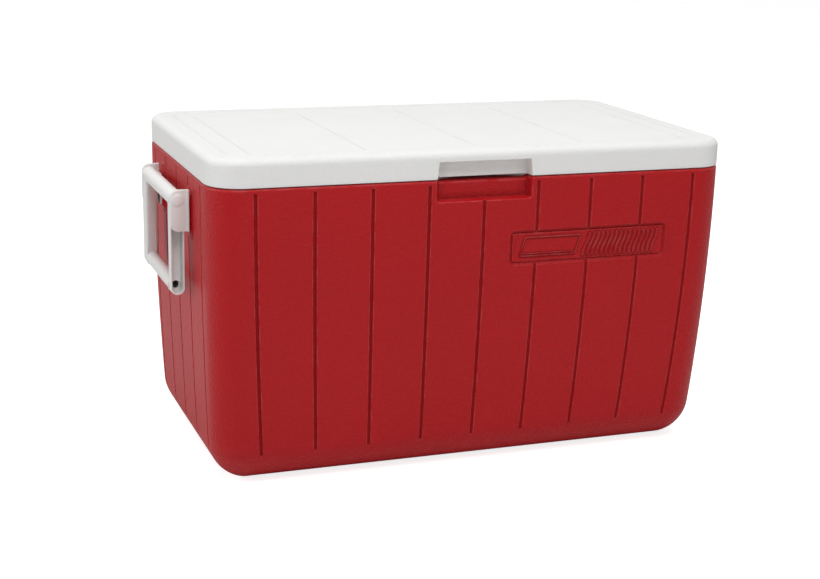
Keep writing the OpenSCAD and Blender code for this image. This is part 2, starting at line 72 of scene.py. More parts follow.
def fill(marks: Sequence[float], gap: float) -> Array:
    """Sorted marks, with even steps between neighbours further apart than gap."""
    m = np.unique(np.round(np.asarray(marks, float), 3))
    runs = [
        np.linspace(a, b, max(1, math.ceil((b - a) / gap)), endpoint=False)
        for a, b in zip(m[:-1], m[1:])
    ]
    return np.concatenate([*runs, m[-1:]])


def about(centres: Sequence[float], offsets: Sequence[float]) -> list[float]:
    """Every centre plus every offset."""
    return np.add.outer(np.asarray(centres, float), offsets).ravel().tolist()


def within(x: Array, y: Array, half_x: float, half_y: float, r: float) -> Array:
    """How far inside a rounded rectangle's outline a place is, below 0 outside.

    Outside a corner it is r less the distance to the corner's centre.
    """
    ox, oy = np.abs(x) - half_x + r, np.abs(y) - half_y + r
    return r - np.hypot(np.maximum(ox, 0), np.maximum(oy, 0)) - np.minimum(np.maximum(ox, oy), 0)


def soften(path: Sequence[tuple[float, float]], radius: float, steps: int = 4) -> Array:
    """Rounds a path's inner corners.

    Each corner V gives way to the parabola (1-t)^2 A + 2t(1-t) V + t^2 B, where A
    and B lie on its two sides, radius away or at half a side if that is nearer.

    Args:
        path: The corners in order.
        radius: Distance from a corner to where its rounding starts.
        steps: Pieces in each rounding.

    Returns:
        The rounded path, one point a row.
    """
    p = np.asarray(path, float)
    back, ahead = p[:-2] - p[1:-1], p[2:] - p[1:-1]
    t = np.linspace(0, 1, steps + 1)[None, :, None]

    def side(v: Array) -> Array:
        """Start of the rounding on one side of each corner."""
        long = np.linalg.norm(v, axis=1, keepdims=True)
        return p[1:-1] + v / long * np.minimum(radius, long * 0.48)

    a, v, b = (q[:, None] for q in (side(back), p[1:-1], side(ahead)))
    bends = (1 - t) ** 2 * a + 2 * t * (1 - t) * v + t**2 * b
    return np.concatenate([p[:1], bends.reshape(-1, 2), p[-1:]])


@dataclass(frozen=True)
class Seat:
    """Where a form sits: an origin and the directions of its own u, v and w."""

    origin: tuple[float, float, float]
    u: tuple[float, float, float] = (1, 0, 0)
    v: tuple[float, float, float] = (0, 1, 0)
    w: tuple[float, float, float] = (0, 0, 1)

    def put(self, points: Array) -> Array:
        """Places points: origin + x u + y v + z w."""
        return points @ np.array([self.u, self.v, self.w], float) + self.origin


class Mould:
    """Gathers grids of points, in millimetres, into one closed mesh in metres."""

    def __init__(self) -> None:
        """Starts empty."""
        self.points: list[Array] = []
        self.faces: list[list[int]] = []
        self.count = 0

    def grid(self, points: Array, across: bool = True, along: bool = False) -> Array:
        """Joins each grid cell's four corners into a face.

        Args:
            points: Rows by columns by 3.
            across: Whether the last column joins the first.
            along: Whether the last row joins the first.

        Returns:
            The number of each point, rows by columns.
        """
        rows, cols = points.shape[:2]
        ids = np.arange(rows * cols).reshape(rows, cols) + self.count
        a = np.concatenate([ids, ids[:1]]) if along else ids
        a = np.concatenate([a, a[:, :1]], axis=1) if across else a
        quads = np.stack([a[:-1, :-1], a[:-1, 1:], a[1:, 1:], a[1:, :-1]], -1)
        self.faces += quads.reshape(-1, 4).tolist()
        self.points.append(points.reshape(-1, 3))
        self.count += rows * cols
        return ids

    def cap(self, ids: Array) -> None:
        """Closes a flat ring with one face."""
        self.faces.append(ids.tolist())

    def slab(
        self,
        seat: Seat,
        half_u: float,
        half_v: float,
        low: float,
        high: float,
        radii: Sequence[float] | float = 1.0,
        edge: float = 0.5,
    ) -> None:
        """A plate with rounded corners and rounded edges.

        Its outline moved in by e has half sizes less e and corner radii less e;
        the edges are quarter circles, e = edge (1 - sin a) at edge (1 - cos a).

        Args:
            seat: Where the plate's middle lies.
            half_u: Half its size along u.
            half_v: Half its size along v.
            low: Its back face along w.
            high: Its front face along w.
            radii: Corner radius, or one for each corner from +u +v round.
            edge: Radius of its edges.
        """
        a = np.radians([0, 30, 60, 90])
        turn, rise = edge * (1 - np.sin(a)), edge * (1 - np.cos(a))
        inset = np.concatenate([turn, turn[::-1]])[:, None, None]
        level = np.concatenate([low + rise, high - rise[::-1]])[:, None]
        r = np.maximum(np.broadcast_to(radii, 4)[None, :, None] - inset, 0.05)
        b = np.radians(np.arange(4)[:, None] * 90 + np.linspace(0, 90, 7))[None]
        su, sv = (np.array(s)[None, :, None] for s in ([1, -1, -1, 1], [1, 1, -1, -1]))
        u = su * (half_u - inset - r) + r * np.cos(b)
        v = sv * (half_v - inset - r) + r * np.sin(b)
        u, v = u.reshape(8, -1), v.reshape(8, -1)
        ids = self.grid(seat.put(np.stack([u, v, level + 0 * u], -1)))
        self.cap(ids[0])
        self.cap(ids[-1])

    def lathe(
        self,
        seat: Seat,
        profile: Array,
        steps: int = 64,
        ring: bool = False,
        ripple: Array | float = 0.0,
    ) -> None:
        """Turns a profile about the seat's w: (r cos a, r sin a, h).

        Args:
            seat: Where the axis lies.
            profile: Radius and height of each point.
            steps: Points round the axis.
            ring: Whether the profile's end joins its start.
            ripple: Added to the radius, profile points by steps.
        """
        a = np.linspace(0, 2 * np.pi, steps, endpoint=False)[None]
        r = profile[:, :1] + ripple + 0 * a
        points = np.stack([r * np.cos(a), r * np.sin(a), profile[:, 1:] + 0 * a], -1)
        self.grid(seat.put(points), along=ring)

    def build(self, name: str, sharp: float = 40) -> bpy.types.Object:
        """Makes the object: doubles merged, faces outward, its form marked.

        The edge attribute is the mean, over a point's neighbours, of its normal
        times the direction from the neighbour, which is above 0 on outer edges,
        less what a wide corner has. The second attribute, painted shade for
        creases and concave corners, is the same below 0, spread over near
        neighbours by a share that falls off with the length.

        Args:
            name: The object's name.
            sharp: Angle, in degrees, above which shading breaks.

        Returns:
            The object, at the origin.
        """
        mesh = bpy.data.meshes.new(name)
        mesh.from_pydata(np.concatenate(self.points) / 1000, [], self.faces)
        shell = bmesh.new()
        shell.from_mesh(mesh)
        bmesh.ops.remove_doubles(shell, verts=shell.verts, dist=2e-6)
        bmesh.ops.recalc_face_normals(shell, faces=shell.faces)
        shell.to_mesh(mesh)
        shell.free()
        mesh.shade_smooth()
        mesh.set_sharp_from_angle(angle=math.radians(sharp))
        count = len(mesh.vertices)
        place, normal = np.empty(count * 3), np.empty(count * 3)
        ends = np.empty(len(mesh.edges) * 2, int)
        mesh.vertices.foreach_get("co", place)
        mesh.vertices.foreach_get("normal", normal)
        mesh.edges.foreach_get("vertices", ends)
        place, normal, ends = (x.reshape(-1, n) for x, n in ((place, 3), (normal, 3), (ends, 2)))
        line = place[ends[:, 0]] - place[ends[:, 1]]
        long = np.maximum(np.linalg.norm(line, axis=1, keepdims=True), 1e-9)
        line /= long
        total, seen = np.zeros(count), np.zeros(count)
        for near, sign in ((ends[:, 0], 1), (ends[:, 1], -1)):
            np.add.at(total, near, sign * (normal[near] * line).sum(1))
            np.add.at(seen, near, 1)
        bend = total / np.maximum(seen, 1)
        edge = np.clip(bend * 4 - 0.13, 0, 1)
        mesh.attributes.new("edge", "FLOAT", "POINT").data.foreach_set("value", edge)
        # painted shade: concave bends give a value that the material turns into darker colour
        crease_shade = np.clip(-bend * 9, 0, 1)
        share = 0.9 * np.exp(-long[:, 0] / 0.003)
        for _ in range(2):
            spread = crease_shade.copy()
            np.maximum.at(spread, ends[:, 0], crease_shade[ends[:, 1]] * share)
            np.maximum.at(spread, ends[:, 1], crease_shade[ends[:, 0]] * share)
            crease_shade = spread
        mesh.attributes.new("crease_shade", "FLOAT", "POINT").data.foreach_set("value", crease_shade)
        made = bpy.data.objects.new(name, mesh)
        bpy.context.scene.collection.objects.link(made)
        return made


@dataclass(frozen=True)
class Band:
    """Columns round a rounded rectangle, counter-clockwise from the front.

    Fields: outward direction in degrees, the corner's signs, and the place along
    a straight, which is not a number on the corners.
    """

    angle: Array
    cx: Array
    cy: Array
    x0: Array
    y0: Array

    @classmethod
    def round(cls, front: Array, side: Array, steps: int = 14) -> "Band":
        """Lays columns along the front, a side, the rear and the other side.

        Args:
            front: Places along the front's straight, from -X to +X.
            side: Places along the side's straight, from -Y to +Y.
            steps: Pieces in each corner.

        Returns:
            The band.
        """
        arc = np.linspace(0, 90, steps + 1)[1:-1]
        runs = ((front, 1, -1), (side, 1, 1), (front[::-1], -1, 1), (side[::-1], -1, -1))
        rows = []
        for turn, (line, cx, cy) in enumerate(runs):
            first = 90.0 * turn - 90.0
            n, k, none = len(line), len(arc), np.full(len(line) + len(arc), np.nan)
            along = none.copy()
            along[:n] = line
            rows.append(
                np.stack(
                    [
                        np.concatenate([np.full(n, first), first + arc]),
                        np.full(n + k, float(cx)),
                        np.full(n + k, float(cy)),
                        along if turn % 2 == 0 else none,
                        along if turn % 2 else none,
                    ]
                )
            )
        return cls(*np.concatenate(rows, axis=1))

    @property
    def out(self) -> Array:
        """Outward direction of each column in the plane."""
        a = np.radians(self.angle)
        return np.stack([np.cos(a), np.sin(a)], -1)

    def rings(
        self,
        hx: Array,
        hy: Array,
        r: Array,
        z: Array,
        depth: Array | float = 0.0,
        sx: Array | float = 1.0,
        sy: Array | float = 1.0,
        shift: Array | float = 0.0,
    ) -> Array:
        """Rings of points, one for each height, sunk in by a depth.

        A straight's point keeps its place times the stretch; a corner's is its
        centre plus the radius along its direction. Depth then moves it inward.

        Args:
            hx: Half length of each ring.
            hy: Half depth of each ring.
            r: Corner radius of each ring.
            z: Height of each ring.
            depth: How far in each point sinks, rings by columns.
            sx: Stretch of the places along X.
            sy: Stretch of the places along Y.
            shift: Added along X on the front and rear.

        Returns:
            Points, rings by columns by 3.
        """
        hx, hy, r, z = (np.asarray(v, float)[:, None] for v in (hx, hy, r, z))
        cos, sin = self.out.T
        x = self.cx * (hx - r) + r * cos
        y = self.cy * (hy - r) + r * sin
        x = np.where(np.isnan(self.x0), x, np.nan_to_num(self.x0) * sx + shift)
        y = np.where(np.isnan(self.y0), y, np.nan_to_num(self.y0) * sy)
        return np.stack([x - depth * cos, y - depth * sin, z + 0 * x], -1)


# ---- finishes -----------------------------------------------------------


class Wires:
    """Short calls for filling a node tree."""

    def __init__(self, tree: bpy.types.NodeTree) -> None:
        """Takes the tree."""
        self.tree = tree

    @classmethod
    def cleared(cls, owner: bpy.types.Material | bpy.types.World) -> "Wires":
        """The wires of a material or world, whose own nodes are cleared first."""
        owner.use_nodes = True
        owner.node_tree.nodes.clear()
        return cls(owner.node_tree)

    def add(self, kind: str, values: dict | None = None, **settings: object) -> bpy.types.Node:
        """Adds a node.

        Args:
            kind: The node's type without its ShaderNode prefix.
            values: For each input, a value or the socket that feeds it.
            settings: The node's own properties.

        Returns:
            The node.
        """
        node = self.tree.nodes.new(kind if kind.startswith("Node") else "ShaderNode" + kind)
        for key, value in settings.items():
            setattr(node, key, value)
        for key, value in (values or {}).items():
            if isinstance(value, bpy.types.NodeSocket):
                self.tree.links.new(value, node.inputs[key])
            else:
                node.inputs[key].default_value = value
        return node

    def sum(self, kind: str, a: object, b: object, clamp: bool = False) -> bpy.types.NodeSocket:
        """Works out a of kind with b and returns the result's socket."""
        return self.add("Math", {0: a, 1: b}, operation=kind, use_clamp=clamp).outputs[0]

    def blend(self, factor: object, a: object, b: object) -> bpy.types.NodeSocket:
        """Blends colour a into b by the factor and returns the result's socket."""
        return self.add("Mix", {"Factor": factor, 6: a, 7: b}, data_type="RGBA").outputs[2]


class Effect(Enum):
    """Effects that several finishes share, each one node group."""

    GRAIN = "moulded_grain"
    TONE = "tone_drift"
    WEAR = "edge_wear"
    DUST = "settled_dust"

    def start(self, **sockets: str) -> tuple[Wires, bpy.types.Node, bpy.types.Node]:
        """Makes the empty group.

        Args:
            sockets: For each socket, IN or OUT and Float or Color.

        Returns:
            Its wires, its input node and its output node.
        """
        tree = bpy.data.node_groups.new(self.value, "ShaderNodeTree")
        for name, kind in sockets.items():
            way, form = kind.split()
            tree.interface.new_socket(
                name=name, in_out=way + "PUT", socket_type="NodeSocket" + form
            )
        wires = Wires(tree)
        return wires, wires.add("NodeGroupInput"), wires.add("NodeGroupOutput")

    def tree(self) -> bpy.types.NodeTree:
        """The group, built once."""
        if self.value in bpy.data.node_groups:
            return bpy.data.node_groups[self.value]
        build = {
            Effect.GRAIN: self.grain,
            Effect.TONE: self.tone,
            Effect.WEAR: self.wear,
            Effect.DUST: self.dust,
        }
        return build[self]()

    def place(self, w: Wires, **values: object) -> bpy.types.Node:
        """Places the group in a material with that material's own values."""
        node = w.add("Group", node_tree=self.tree())
        for name, value in values.items():
            node.inputs[name].default_value = value
        return node

    def grain(self) -> bpy.types.NodeTree:
        """Pebbles of a moulded skin: rounded cells with finer noise on them."""
        w, given, out = self.start(Size="IN Float", Fine="IN Float", Height="OUT Float")
        place = w.add("TexCoord").outputs["Object"]
        scale = w.sum("DIVIDE", 1.0, given.outputs["Size"])
        cells = w.add(
            "TexVoronoi",
            {"Vector": place, "Scale": scale, "Smoothness": 0.6},
            feature="SMOOTH_F1",
        )
        fine = w.add(
            "TexNoise",
            {"Vector": place, "Scale": w.sum("MULTIPLY", scale, 0.55), "Detail": 4.0},
        )
        bump = w.sum("SUBTRACT", 1.0, cells.outputs["Distance"])
        extra = w.sum("MULTIPLY", fine.outputs["Fac"], given.outputs["Fine"])
        w.tree.links.new(w.sum("ADD", bump, extra), out.inputs["Height"])
        return w.tree

    def tone(self) -> bpy.types.NodeTree:
        """Slow and fine drift of a colour's lightness."""
        w, given, out = self.start(Colour="IN Color", Spread="IN Float", Result="OUT Color")
        place = w.add("TexCoord").outputs["Object"]
        slow = w.add("TexNoise", {"Vector": place, "Scale": 5.0, "Detail": 2.0})
        fine = w.add("TexNoise", {"Vector": place, "Scale": 420.0, "Detail": 2.0})
        both = w.sum("ADD", slow.outputs["Fac"], fine.outputs["Fac"])
        level = w.sum("MULTIPLY", w.sum("SUBTRACT", both, 1.0), given.outputs["Spread"])
        shade = w.add(
            "HueSaturation",
            {"Value": w.sum("ADD", level, 1.0), "Color": given.outputs["Colour"]},
        )
        w.tree.links.new(shade.outputs[0], out.inputs["Result"])
        return w.tree

    def wear(self) -> bpy.types.NodeTree:
        """Rubbed outer edges, lighter where a finish uses them as a painted
        highlight: the edge attribute broken up by noise.
        """
        w, given, out = self.start(Amount="IN Float", Mask="OUT Float")
        place = w.add("TexCoord").outputs["Object"]
        edge = w.add("Attribute", attribute_name="edge").outputs["Fac"]
        noise = w.add("TexNoise", {"Vector": place, "Scale": 70.0, "Detail": 5.0})
        rough = w.sum("MULTIPLY", w.sum("SUBTRACT", noise.outputs["Fac"], 0.35), 3.0, True)
        mask = w.sum("MULTIPLY", w.sum("MULTIPLY", edge, rough), given.outputs["Amount"], True)
        w.tree.links.new(mask, out.inputs["Mask"])
        return w.tree

    def dust(self) -> bpy.types.NodeTree:
        """Dust on faces that look up, in soft patches."""
        w, given, out = self.start(Amount="IN Float", Mask="OUT Float")
        coords = w.add("TexCoord")
        up = w.add("SeparateXYZ", {0: coords.outputs["Normal"]}).outputs["Z"]
        noise = w.add(
            "TexNoise", {"Vector": coords.outputs["Object"], "Scale": 14.0, "Detail": 6.0}
        )
        patch = w.sum("MULTIPLY", w.sum("SUBTRACT", noise.outputs["Fac"], 0.42), 4.0, True)
        facing = w.sum("MULTIPLY", w.sum("SUBTRACT", up, 0.4), 1.8, True)
        mask = w.sum("MULTIPLY", w.sum("MULTIPLY", facing, patch), given.outputs["Amount"], True)
        w.tree.links.new(mask, out.inputs["Mask"])
        return w.tree


@dataclass(frozen=True)
class Plastic:
    """Moulded plastic with a pebbled skin, drifting tone, rubbed edges and dust.

    Light rubbed edges can be a painted highlight, and creases get painted shade.
    """

    name: str
    colour: Colour
    roughness: float = 0.42
    specular: float = 0.35
    pebble: float = 0.0022
    fine: float = 0.5
    relief: float = 0.00012
    spread: float = 0.05
    wear: float = 0.3
    worn_and_lit: Colour = (0.6, 0.6, 0.58)
    dust: float = 0.08
    metallic: float = 0.0
    # strength of the painted shade in creases
    shade: float = 0.15

    def make(self) -> bpy.types.Material:
        """Builds the material, or returns it if it is there already."""
        if self.name in bpy.data.materials:
            return bpy.data.materials[self.name]
        made = bpy.data.materials.new(self.name)
        w = Wires.cleared(made)
        tone = Effect.TONE.place(w, Colour=(*self.colour, 1), Spread=self.spread)
        wear = Effect.WEAR.place(w, Amount=self.wear)
        dust = Effect.DUST.place(w, Amount=self.dust)
        grain = Effect.GRAIN.place(w, Size=self.pebble, Fine=self.fine)
        # rubbed-edge colour; a light one paints a highlight along convex edges
        colour = w.blend(wear.outputs[0], tone.outputs[0], (*self.worn_and_lit, 1))
        colour = w.blend(dust.outputs[0], colour, (0.55, 0.52, 0.48, 1))
        # painted shade: the crease attribute times the strength darkens the colour toward 0.12 of itself and
        # roughens it
        crease_shade = w.add("Attribute", attribute_name="crease_shade").outputs["Fac"]
        crease_shade = w.sum("MULTIPLY", crease_shade, self.shade)
        colour = w.blend(crease_shade, colour, (*(0.12 * c for c in self.colour), 1))
        gloss = w.sum("MULTIPLY", grain.outputs[0], -0.06)
        gloss = w.sum("ADD", gloss, self.roughness + 0.06)
        gloss = w.sum("ADD", gloss, w.sum("MULTIPLY", crease_shade, 0.8))
        gloss = w.sum("ADD", gloss, w.sum("MULTIPLY", dust.outputs[0], 0.5), True)
        bump = w.add(
            "Bump", {"Height": grain.outputs[0], "Distance": self.relief, "Strength": 1.0}
        )
        shader = w.add(
            "BsdfPrincipled",
            {
                "Base Color": colour,
                "Roughness": gloss,
                "Normal": bump.outputs[0],
                "Specular IOR Level": self.specular,
                "Metallic": self.metallic,
            },
        )
        w.add("OutputMaterial", {"Surface": shader.outputs[0]})
        return made


class Finish(Enum):
    """The finishes, each with the record's slot that it stands for."""

    # painted highlight: the light pink rubbed-edge colour lights the shell's convex edges, rim and recess ledge
    BODY_RED = (
        "body_red",
        Plastic(
            # painted shade: a strong crease strength darkens the shell's grooves, recess corners and pocket
            "satin_red_shell", (0.42, 0.002, 0.005), 0.42, 0.25, pebble=0.0026, fine=0.9, relief=0.0006,
            spread=0.15, wear=0.42, worn_and_lit=(0.78, 0.3, 0.3), dust=0.03, shade=0.46,
        ),
    )
    LID_WHITE = (
        "lid_white",
        Plastic(
            "white_lid", (0.80, 0.80, 0.785), 0.5, 0.3, pebble=0.0024, fine=0.7, relief=0.00025,
            spread=0.035, wear=0.06, worn_and_lit=(0.7, 0.7, 0.68), dust=0.06,
        ),
    )
    LINER_WHITE = (
        "liner_white",
        Plastic(
            "glossy_white_tub", (0.80, 0.80, 0.79), 0.28, 0.5, pebble=0.006, fine=0.3, relief=0.00003,
            spread=0.02, wear=0.1, worn_and_lit=(0.7, 0.7, 0.68), dust=0.04,
        ),
    )
    HANDLE_WHITE = (
        "handle_white",
        Plastic(
            "white_handle", (0.76, 0.76, 0.745), 0.42, 0.4, pebble=0.0011, relief=0.00005,
            spread=0.03, wear=0.06, worn_and_lit=(0.66, 0.65, 0.62), dust=0.05,
        ),
    )
    FITTING_WHITE = (
        "fitting_white",
        Plastic(
            "white_fitting", (0.78, 0.78, 0.765), 0.38, 0.4, pebble=0.0009, relief=0.00003,
            spread=0.03, wear=0.08, worn_and_lit=(0.66, 0.65, 0.62), dust=0.05,
        ),
    )
    INSULATION = (
        "insulation",
        Plastic(
            "beaded_foam", (0.86, 0.78, 0.55), 0.9, 0.1, pebble=0.0035, fine=0.2, relief=0.0006,
            spread=0.1, wear=0.0, worn_and_lit=(0.8, 0.7, 0.5), dust=0.0,
        ),
    )
    STEEL = (
        "steel",
        Plastic(
            "zinc_plated_steel", (0.62, 0.63, 0.65), 0.3, 0.5, pebble=0.0008, fine=1.0, relief=0.00001,
            spread=0.1, worn_and_lit=(0.35, 0.33, 0.3), dust=0.05, metallic=1.0, shade=0.2,
        ),
    )
    RUBBER = (
        "rubber",
        Plastic(
            "black_rubber", (0.03, 0.03, 0.033), 0.65, 0.3, pebble=0.0007, fine=0.6, relief=0.00003,
            spread=0.2, wear=0.2, worn_and_lit=(0.15, 0.15, 0.15), dust=0.2,
        ),
    )

    def dress(self, piece: bpy.types.Object, body: str, *nodes: str) -> bpy.types.Object:
        """Gives a new piece its finish, its body and the nodes that it stands for."""
        slot, plastic = self.value
        piece.data.materials.append(plastic.make())
        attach(piece, body)
        if nodes:
            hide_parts(*nodes)
        log.info("%s: %d faces on %s", piece.name, len(piece.data.polygons), body)
        return piece

    def keep(self, *nodes: str) -> None:
        """Gives CAD nodes that stay their finish."""
        for node in nodes:
            slots = frame["nodes"][node].data.materials
            slots.clear()
            slots.append(self.value[1].make())
            log.info("%s: kept", node)


# ---- body ---------------------------------------------------------------


GROOVE_OFFSETS = (-3.5, -2.6, -2.2, -1.8, -1.4, -1.0, -0.5, 0, 0.5, 1.0, 1.4, 1.8, 2.2, 2.6, 3.5)
EDGE_OFFSETS = (-0.9, -0.55, -0.25, 0, 0.25, 0.55, 0.9)
LEDGE_OFFSETS = (-2.5, -1.8, -1.4, -1.0, -0.6, -0.2, 0.2, 0.6, 1.0, 1.4, 1.8, 2.5)
BEVEL_OFFSETS = tuple(np.arange(-0.5, 8, 0.65))


@dataclass(frozen=True)
class Body:
    """The red shell, with its planks, finger recess, badge pocket and pads."""

    half_x: float = 325.0
    half_y: float = 188.0
    rim: float = 362.0
    draft_x: float = 10.0
    draft_y: float = 23.0
    corner: float = 41.0
    foot: float = 48.0
    wall: float = 3.0
    lip: float = 14.0
    plank: float = 68.8
    end_plank: float = 65.0
    groove: float = 2.4
    groove_low: float = 40.0
    groove_high: float = 356.0
    converge: float = 0.05
    recess_half: float = 58.0
    recess_low: float = 337.0
    recess: float = 9.5
    recess_round: float = 1.6
    recess_fade: float = 6.8
    sill: float = 23.4
    dip: float = 3.0
    badge_x: float = 139.0
    badge_z: float = 275.4
    badge_half: float = 104.8
    badge_half_z: float = 22.0
    badge_r: float = 7.5
    bevel: float = 4.5
    badge: float = 2.9
    pad_x: float = 328.5
    pad_y: float = 77.0
    pad_z: float = 315.0
    pad_size: tuple[float, float, float] = (7.0, 18.5, 4.0)
    pad_fade: float = 14.0
    drain_pad_x: float = 320.8
    drain_pad_r: float = 17.5
    drain_z: float = 68.0

    def halves(self, z: Array) -> tuple[Array, Array]:
        """Half length and half depth at a height: they draw in by (1 - z/rim)^2."""
        t = (1 - np.asarray(z, float) / self.rim) ** 2
        return self.half_x - self.draft_x * t, self.half_y - self.draft_y * t

    def foot_inset(self, z: Array) -> Array:
        """How far the rounded foot stands in at a height: r - sqrt(r^2 - (r-z)^2)."""
        low = np.clip(self.foot - z, 0, self.foot)
        return self.foot - np.sqrt(self.foot**2 - low**2)

    def band(self) -> Band:
        """Columns, close together at grooves, recess and badge."""
        straight = self.half_x - self.corner
        front = [-straight, straight]
        front += about(np.arange(-4, 5) * self.plank, GROOVE_OFFSETS)
        front += about([-self.recess_half, self.recess_half], [2 * b for b in LEDGE_OFFSETS])
        front += about([self.badge_x - self.badge_half], BEVEL_OFFSETS)
        front += about([self.badge_x + self.badge_half], [-b for b in BEVEL_OFFSETS])
        deep = self.half_y - self.corner
        side = [-deep, deep, *about(np.arange(-2, 3) * self.end_plank, GROOVE_OFFSETS)]
        return Band.round(fill(front, 14), fill(side, 14))

    def heights(self) -> Array:
        """Heights of the outer rings."""
        low = self.foot * (1 - np.cos(np.radians(np.linspace(0, 90, 17))))
        marks = [*low, self.rim - 3.4]
        marks += about([self.groove_low], (-2, -1, 0, 1, 2.2))
        marks += about([self.groove_high], (-2.2, -1, 0, 1, 2))
        marks += about([self.recess_low], LEDGE_OFFSETS)
        marks += about([self.badge_z - self.badge_half_z], BEVEL_OFFSETS)
        marks += about([self.badge_z + self.badge_half_z], [-b for b in BEVEL_OFFSETS])
        return fill(marks, 13)

    def depth(self, band: Band, z: Array, margin: float = 0.0) -> Array:
        """How far each point of the wall sinks in.

        A groove is depth times an eased fall from its middle, and ends in an
        eased step. The recess is the product of eased steps across its edges, and
        r - sqrt(r^2 - h^2) deeper over the last of its height. The badge's pocket
        is an eased bevel inside a rounded rectangle. The deepest of them holds.

        Args:
            band: The columns.
            z: The rings' heights.
            margin: How much wider the recess is, which leaves only the recess.

        Returns:
            Depths, rings by columns.
        """
        z = np.asarray(z, float)[:, None]
        x, y = np.nan_to_num(band.x0, nan=1e4), np.nan_to_num(band.y0, nan=1e4)
        front = (band.angle == -90) & (x < 1e4)
        open_x = step_at(-np.abs(x), -self.recess_half - margin, self.recess_fade)
        open_z = step_at(z, self.recess_low - margin, 3.4)
        high = np.clip(z - self.rim + self.recess_round, 0, self.recess_round)
        bend = self.recess_round - np.sqrt(self.recess_round**2 - high**2)
        recess = (self.recess + bend) * open_x * open_z * front
        if margin:
            return recess
        off_x = np.abs((x + self.plank / 2) % self.plank - self.plank / 2)
        off_y = np.abs((y + self.end_plank / 2) % self.end_plank - self.end_plank / 2)
        off = np.where(x < 1e4, off_x, np.where(y < 1e4, off_y, 9.0))
        run = ease((z - self.groove_low) / 2.4 + 0.5) * ease((self.groove_high - z) / 2.4 + 0.5)
        grooves = self.groove * (1 - ease((off - 0.5) / 2.1)) * run
        sunk = within(x - self.badge_x, z - self.badge_z, self.badge_half, self.badge_half_z, self.badge_r)
        pocket = self.badge * ease(sunk / self.bevel) * front
        return np.maximum(np.maximum(grooves, recess), pocket)

    def stretch(
        self, band: Band, hx: Array, hy: Array, r: Array, z: Array, inset: Array
    ) -> tuple[Array, Array]:
        """Stretch of the straights: planks converge by (1 - z/rim)^2.

        Near a corner, and in the foot, it goes over to the straight's own share.
        """
        plank = 1 - self.converge * (1 - z / self.rim) ** 2
        low = ease((inset - 4) / 20)[:, None]
        made = []
        for half, full, place in ((hx, self.half_x, band.x0), (hy, self.half_y, band.y0)):
            straight = full - self.corner
            own = ((half - r) / straight)[:, None]
            near = ease((np.abs(np.nan_to_num(place)) - straight + 5.5) / 5.5)
            made.append(plank[:, None] + (own - plank[:, None]) * np.maximum(near, low))
        return made[0], made[1]

    def shell(self) -> bpy.types.Object:
        """The closed shell: outer wall, lip, inner wall and both floors.

        The badge pocket's bevel gets painted shade all round.
        """
        band, z = self.band(), self.heights()
        inset = self.foot_inset(z)
        hx, hy = self.halves(z)
        hx, hy, r = hx - inset, hy - inset, np.maximum(self.corner - inset, 8)
        sx, sy = self.stretch(band, hx, hy, r, z, inset)
        outer = band.rings(hx, hy, r, z, self.depth(band, z), sx, sy)
        edge = np.array([(0.15, -2.4), (0.6, -1.4), (1.3, -0.6), (2.2, -0.15), (3.2, 0.0)])
        edge_z = self.rim + edge[:, 1]
        top = band.rings(
            self.half_x - edge[:, 0], self.half_y - edge[:, 0], self.corner - edge[:, 0], edge_z,
            self.depth(band, edge_z),
        )
        lip = np.array([(13.4, 0.0), (13.85, -0.15), (14.0, -0.6), (14.0, -3.0)])
        sunk = self.depth(band, self.rim + 0 * lip[:, 1])
        sill = self.sill * sunk / (self.recess + self.recess_round)
        lips = band.rings(
            self.half_x - lip[:, 0], self.half_y - lip[:, 0], 43 - lip[:, 0], self.rim + lip[:, 1], sill
        )
        outer, top, lips = (self.dipped(rings) for rings in (outer, top, lips))
        z_in = np.array([358, 352, 337, 335.5, 334, 332.5, 300, 230, 150, 90, self.foot])
        ix, iy = self.halves(z_in)
        inner = band.rings(
            ix - self.wall, iy - self.wall, 0 * z_in + self.corner - self.wall, z_in,
            self.depth(band, z_in, self.wall),
            (ix - self.corner)[:, None] / (self.half_x - self.corner),
            (iy - self.corner)[:, None] / (self.half_y - self.corner),
        )
        a = np.radians([75, 60, 45, 30, 15, 0])
        rf = self.foot - self.wall
        e = self.wall + rf * (1 - np.sin(a))
        zf = self.wall + rf * (1 - np.cos(a))
        fx, fy = self.halves(zf)
        rr = np.maximum(self.corner - e, 8)
        floor = band.rings(
            fx - e, fy - e, rr, zf, 0.0,
            (fx - e - rr)[:, None] / (self.half_x - self.corner),
            (fy - e - rr)[:, None] / (self.half_y - self.corner),
        )
        mould = Mould()
        ids = mould.grid(np.concatenate([outer, top, lips, inner, floor]))
        mould.cap(ids[0])
        mould.cap(ids[-1])
        for side in (-1, 1):
            for end in (-1, 1):
                self.pad(mould, side, end * self.pad_y, self.pad_z, *self.pad_size, self.pad_x, self.pad_fade)
        self.pad(mould, 1, 0, self.drain_z, *[self.drain_pad_r] * 3, self.drain_pad_x)
        made = mould.build("red_shell")
        # painted shade: at least half strength of the crease attribute all round the badge pocket's bevel
        place, crease_shade = np.empty(len(made.data.vertices) * 3), np.empty(len(made.data.vertices))
        made.data.vertices.foreach_get("co", place)
        marks = made.data.attributes["crease_shade"].data
        marks.foreach_get("value", crease_shade)
        x, y, z = place.reshape(-1, 3).T * 1000
        sunk = within(x - self.badge_x, z - self.badge_z, self.badge_half, self.badge_half_z, self.badge_r)
        bevel = ease((sunk + 0.4) / 1.6) * (1 - ease((sunk - self.bevel) / 1.5)) * (y < 0)
        marks.foreach_set("value", np.maximum(crease_shade, 0.5 * bevel))
        return made

    def dipped(self, rings: Array) -> Array:
        """Rings with their top lowered at the recess, by an eased step of X."""
        x, y, z = rings[..., 0], rings[..., 1], rings[..., 2]
        share = step_at(-np.abs(x), -self.recess_half, self.recess_fade) * ease((z - self.rim + 12) / 8)
        return rings - (self.dip * share * (y < -140))[..., None] * [0, 0, 1]

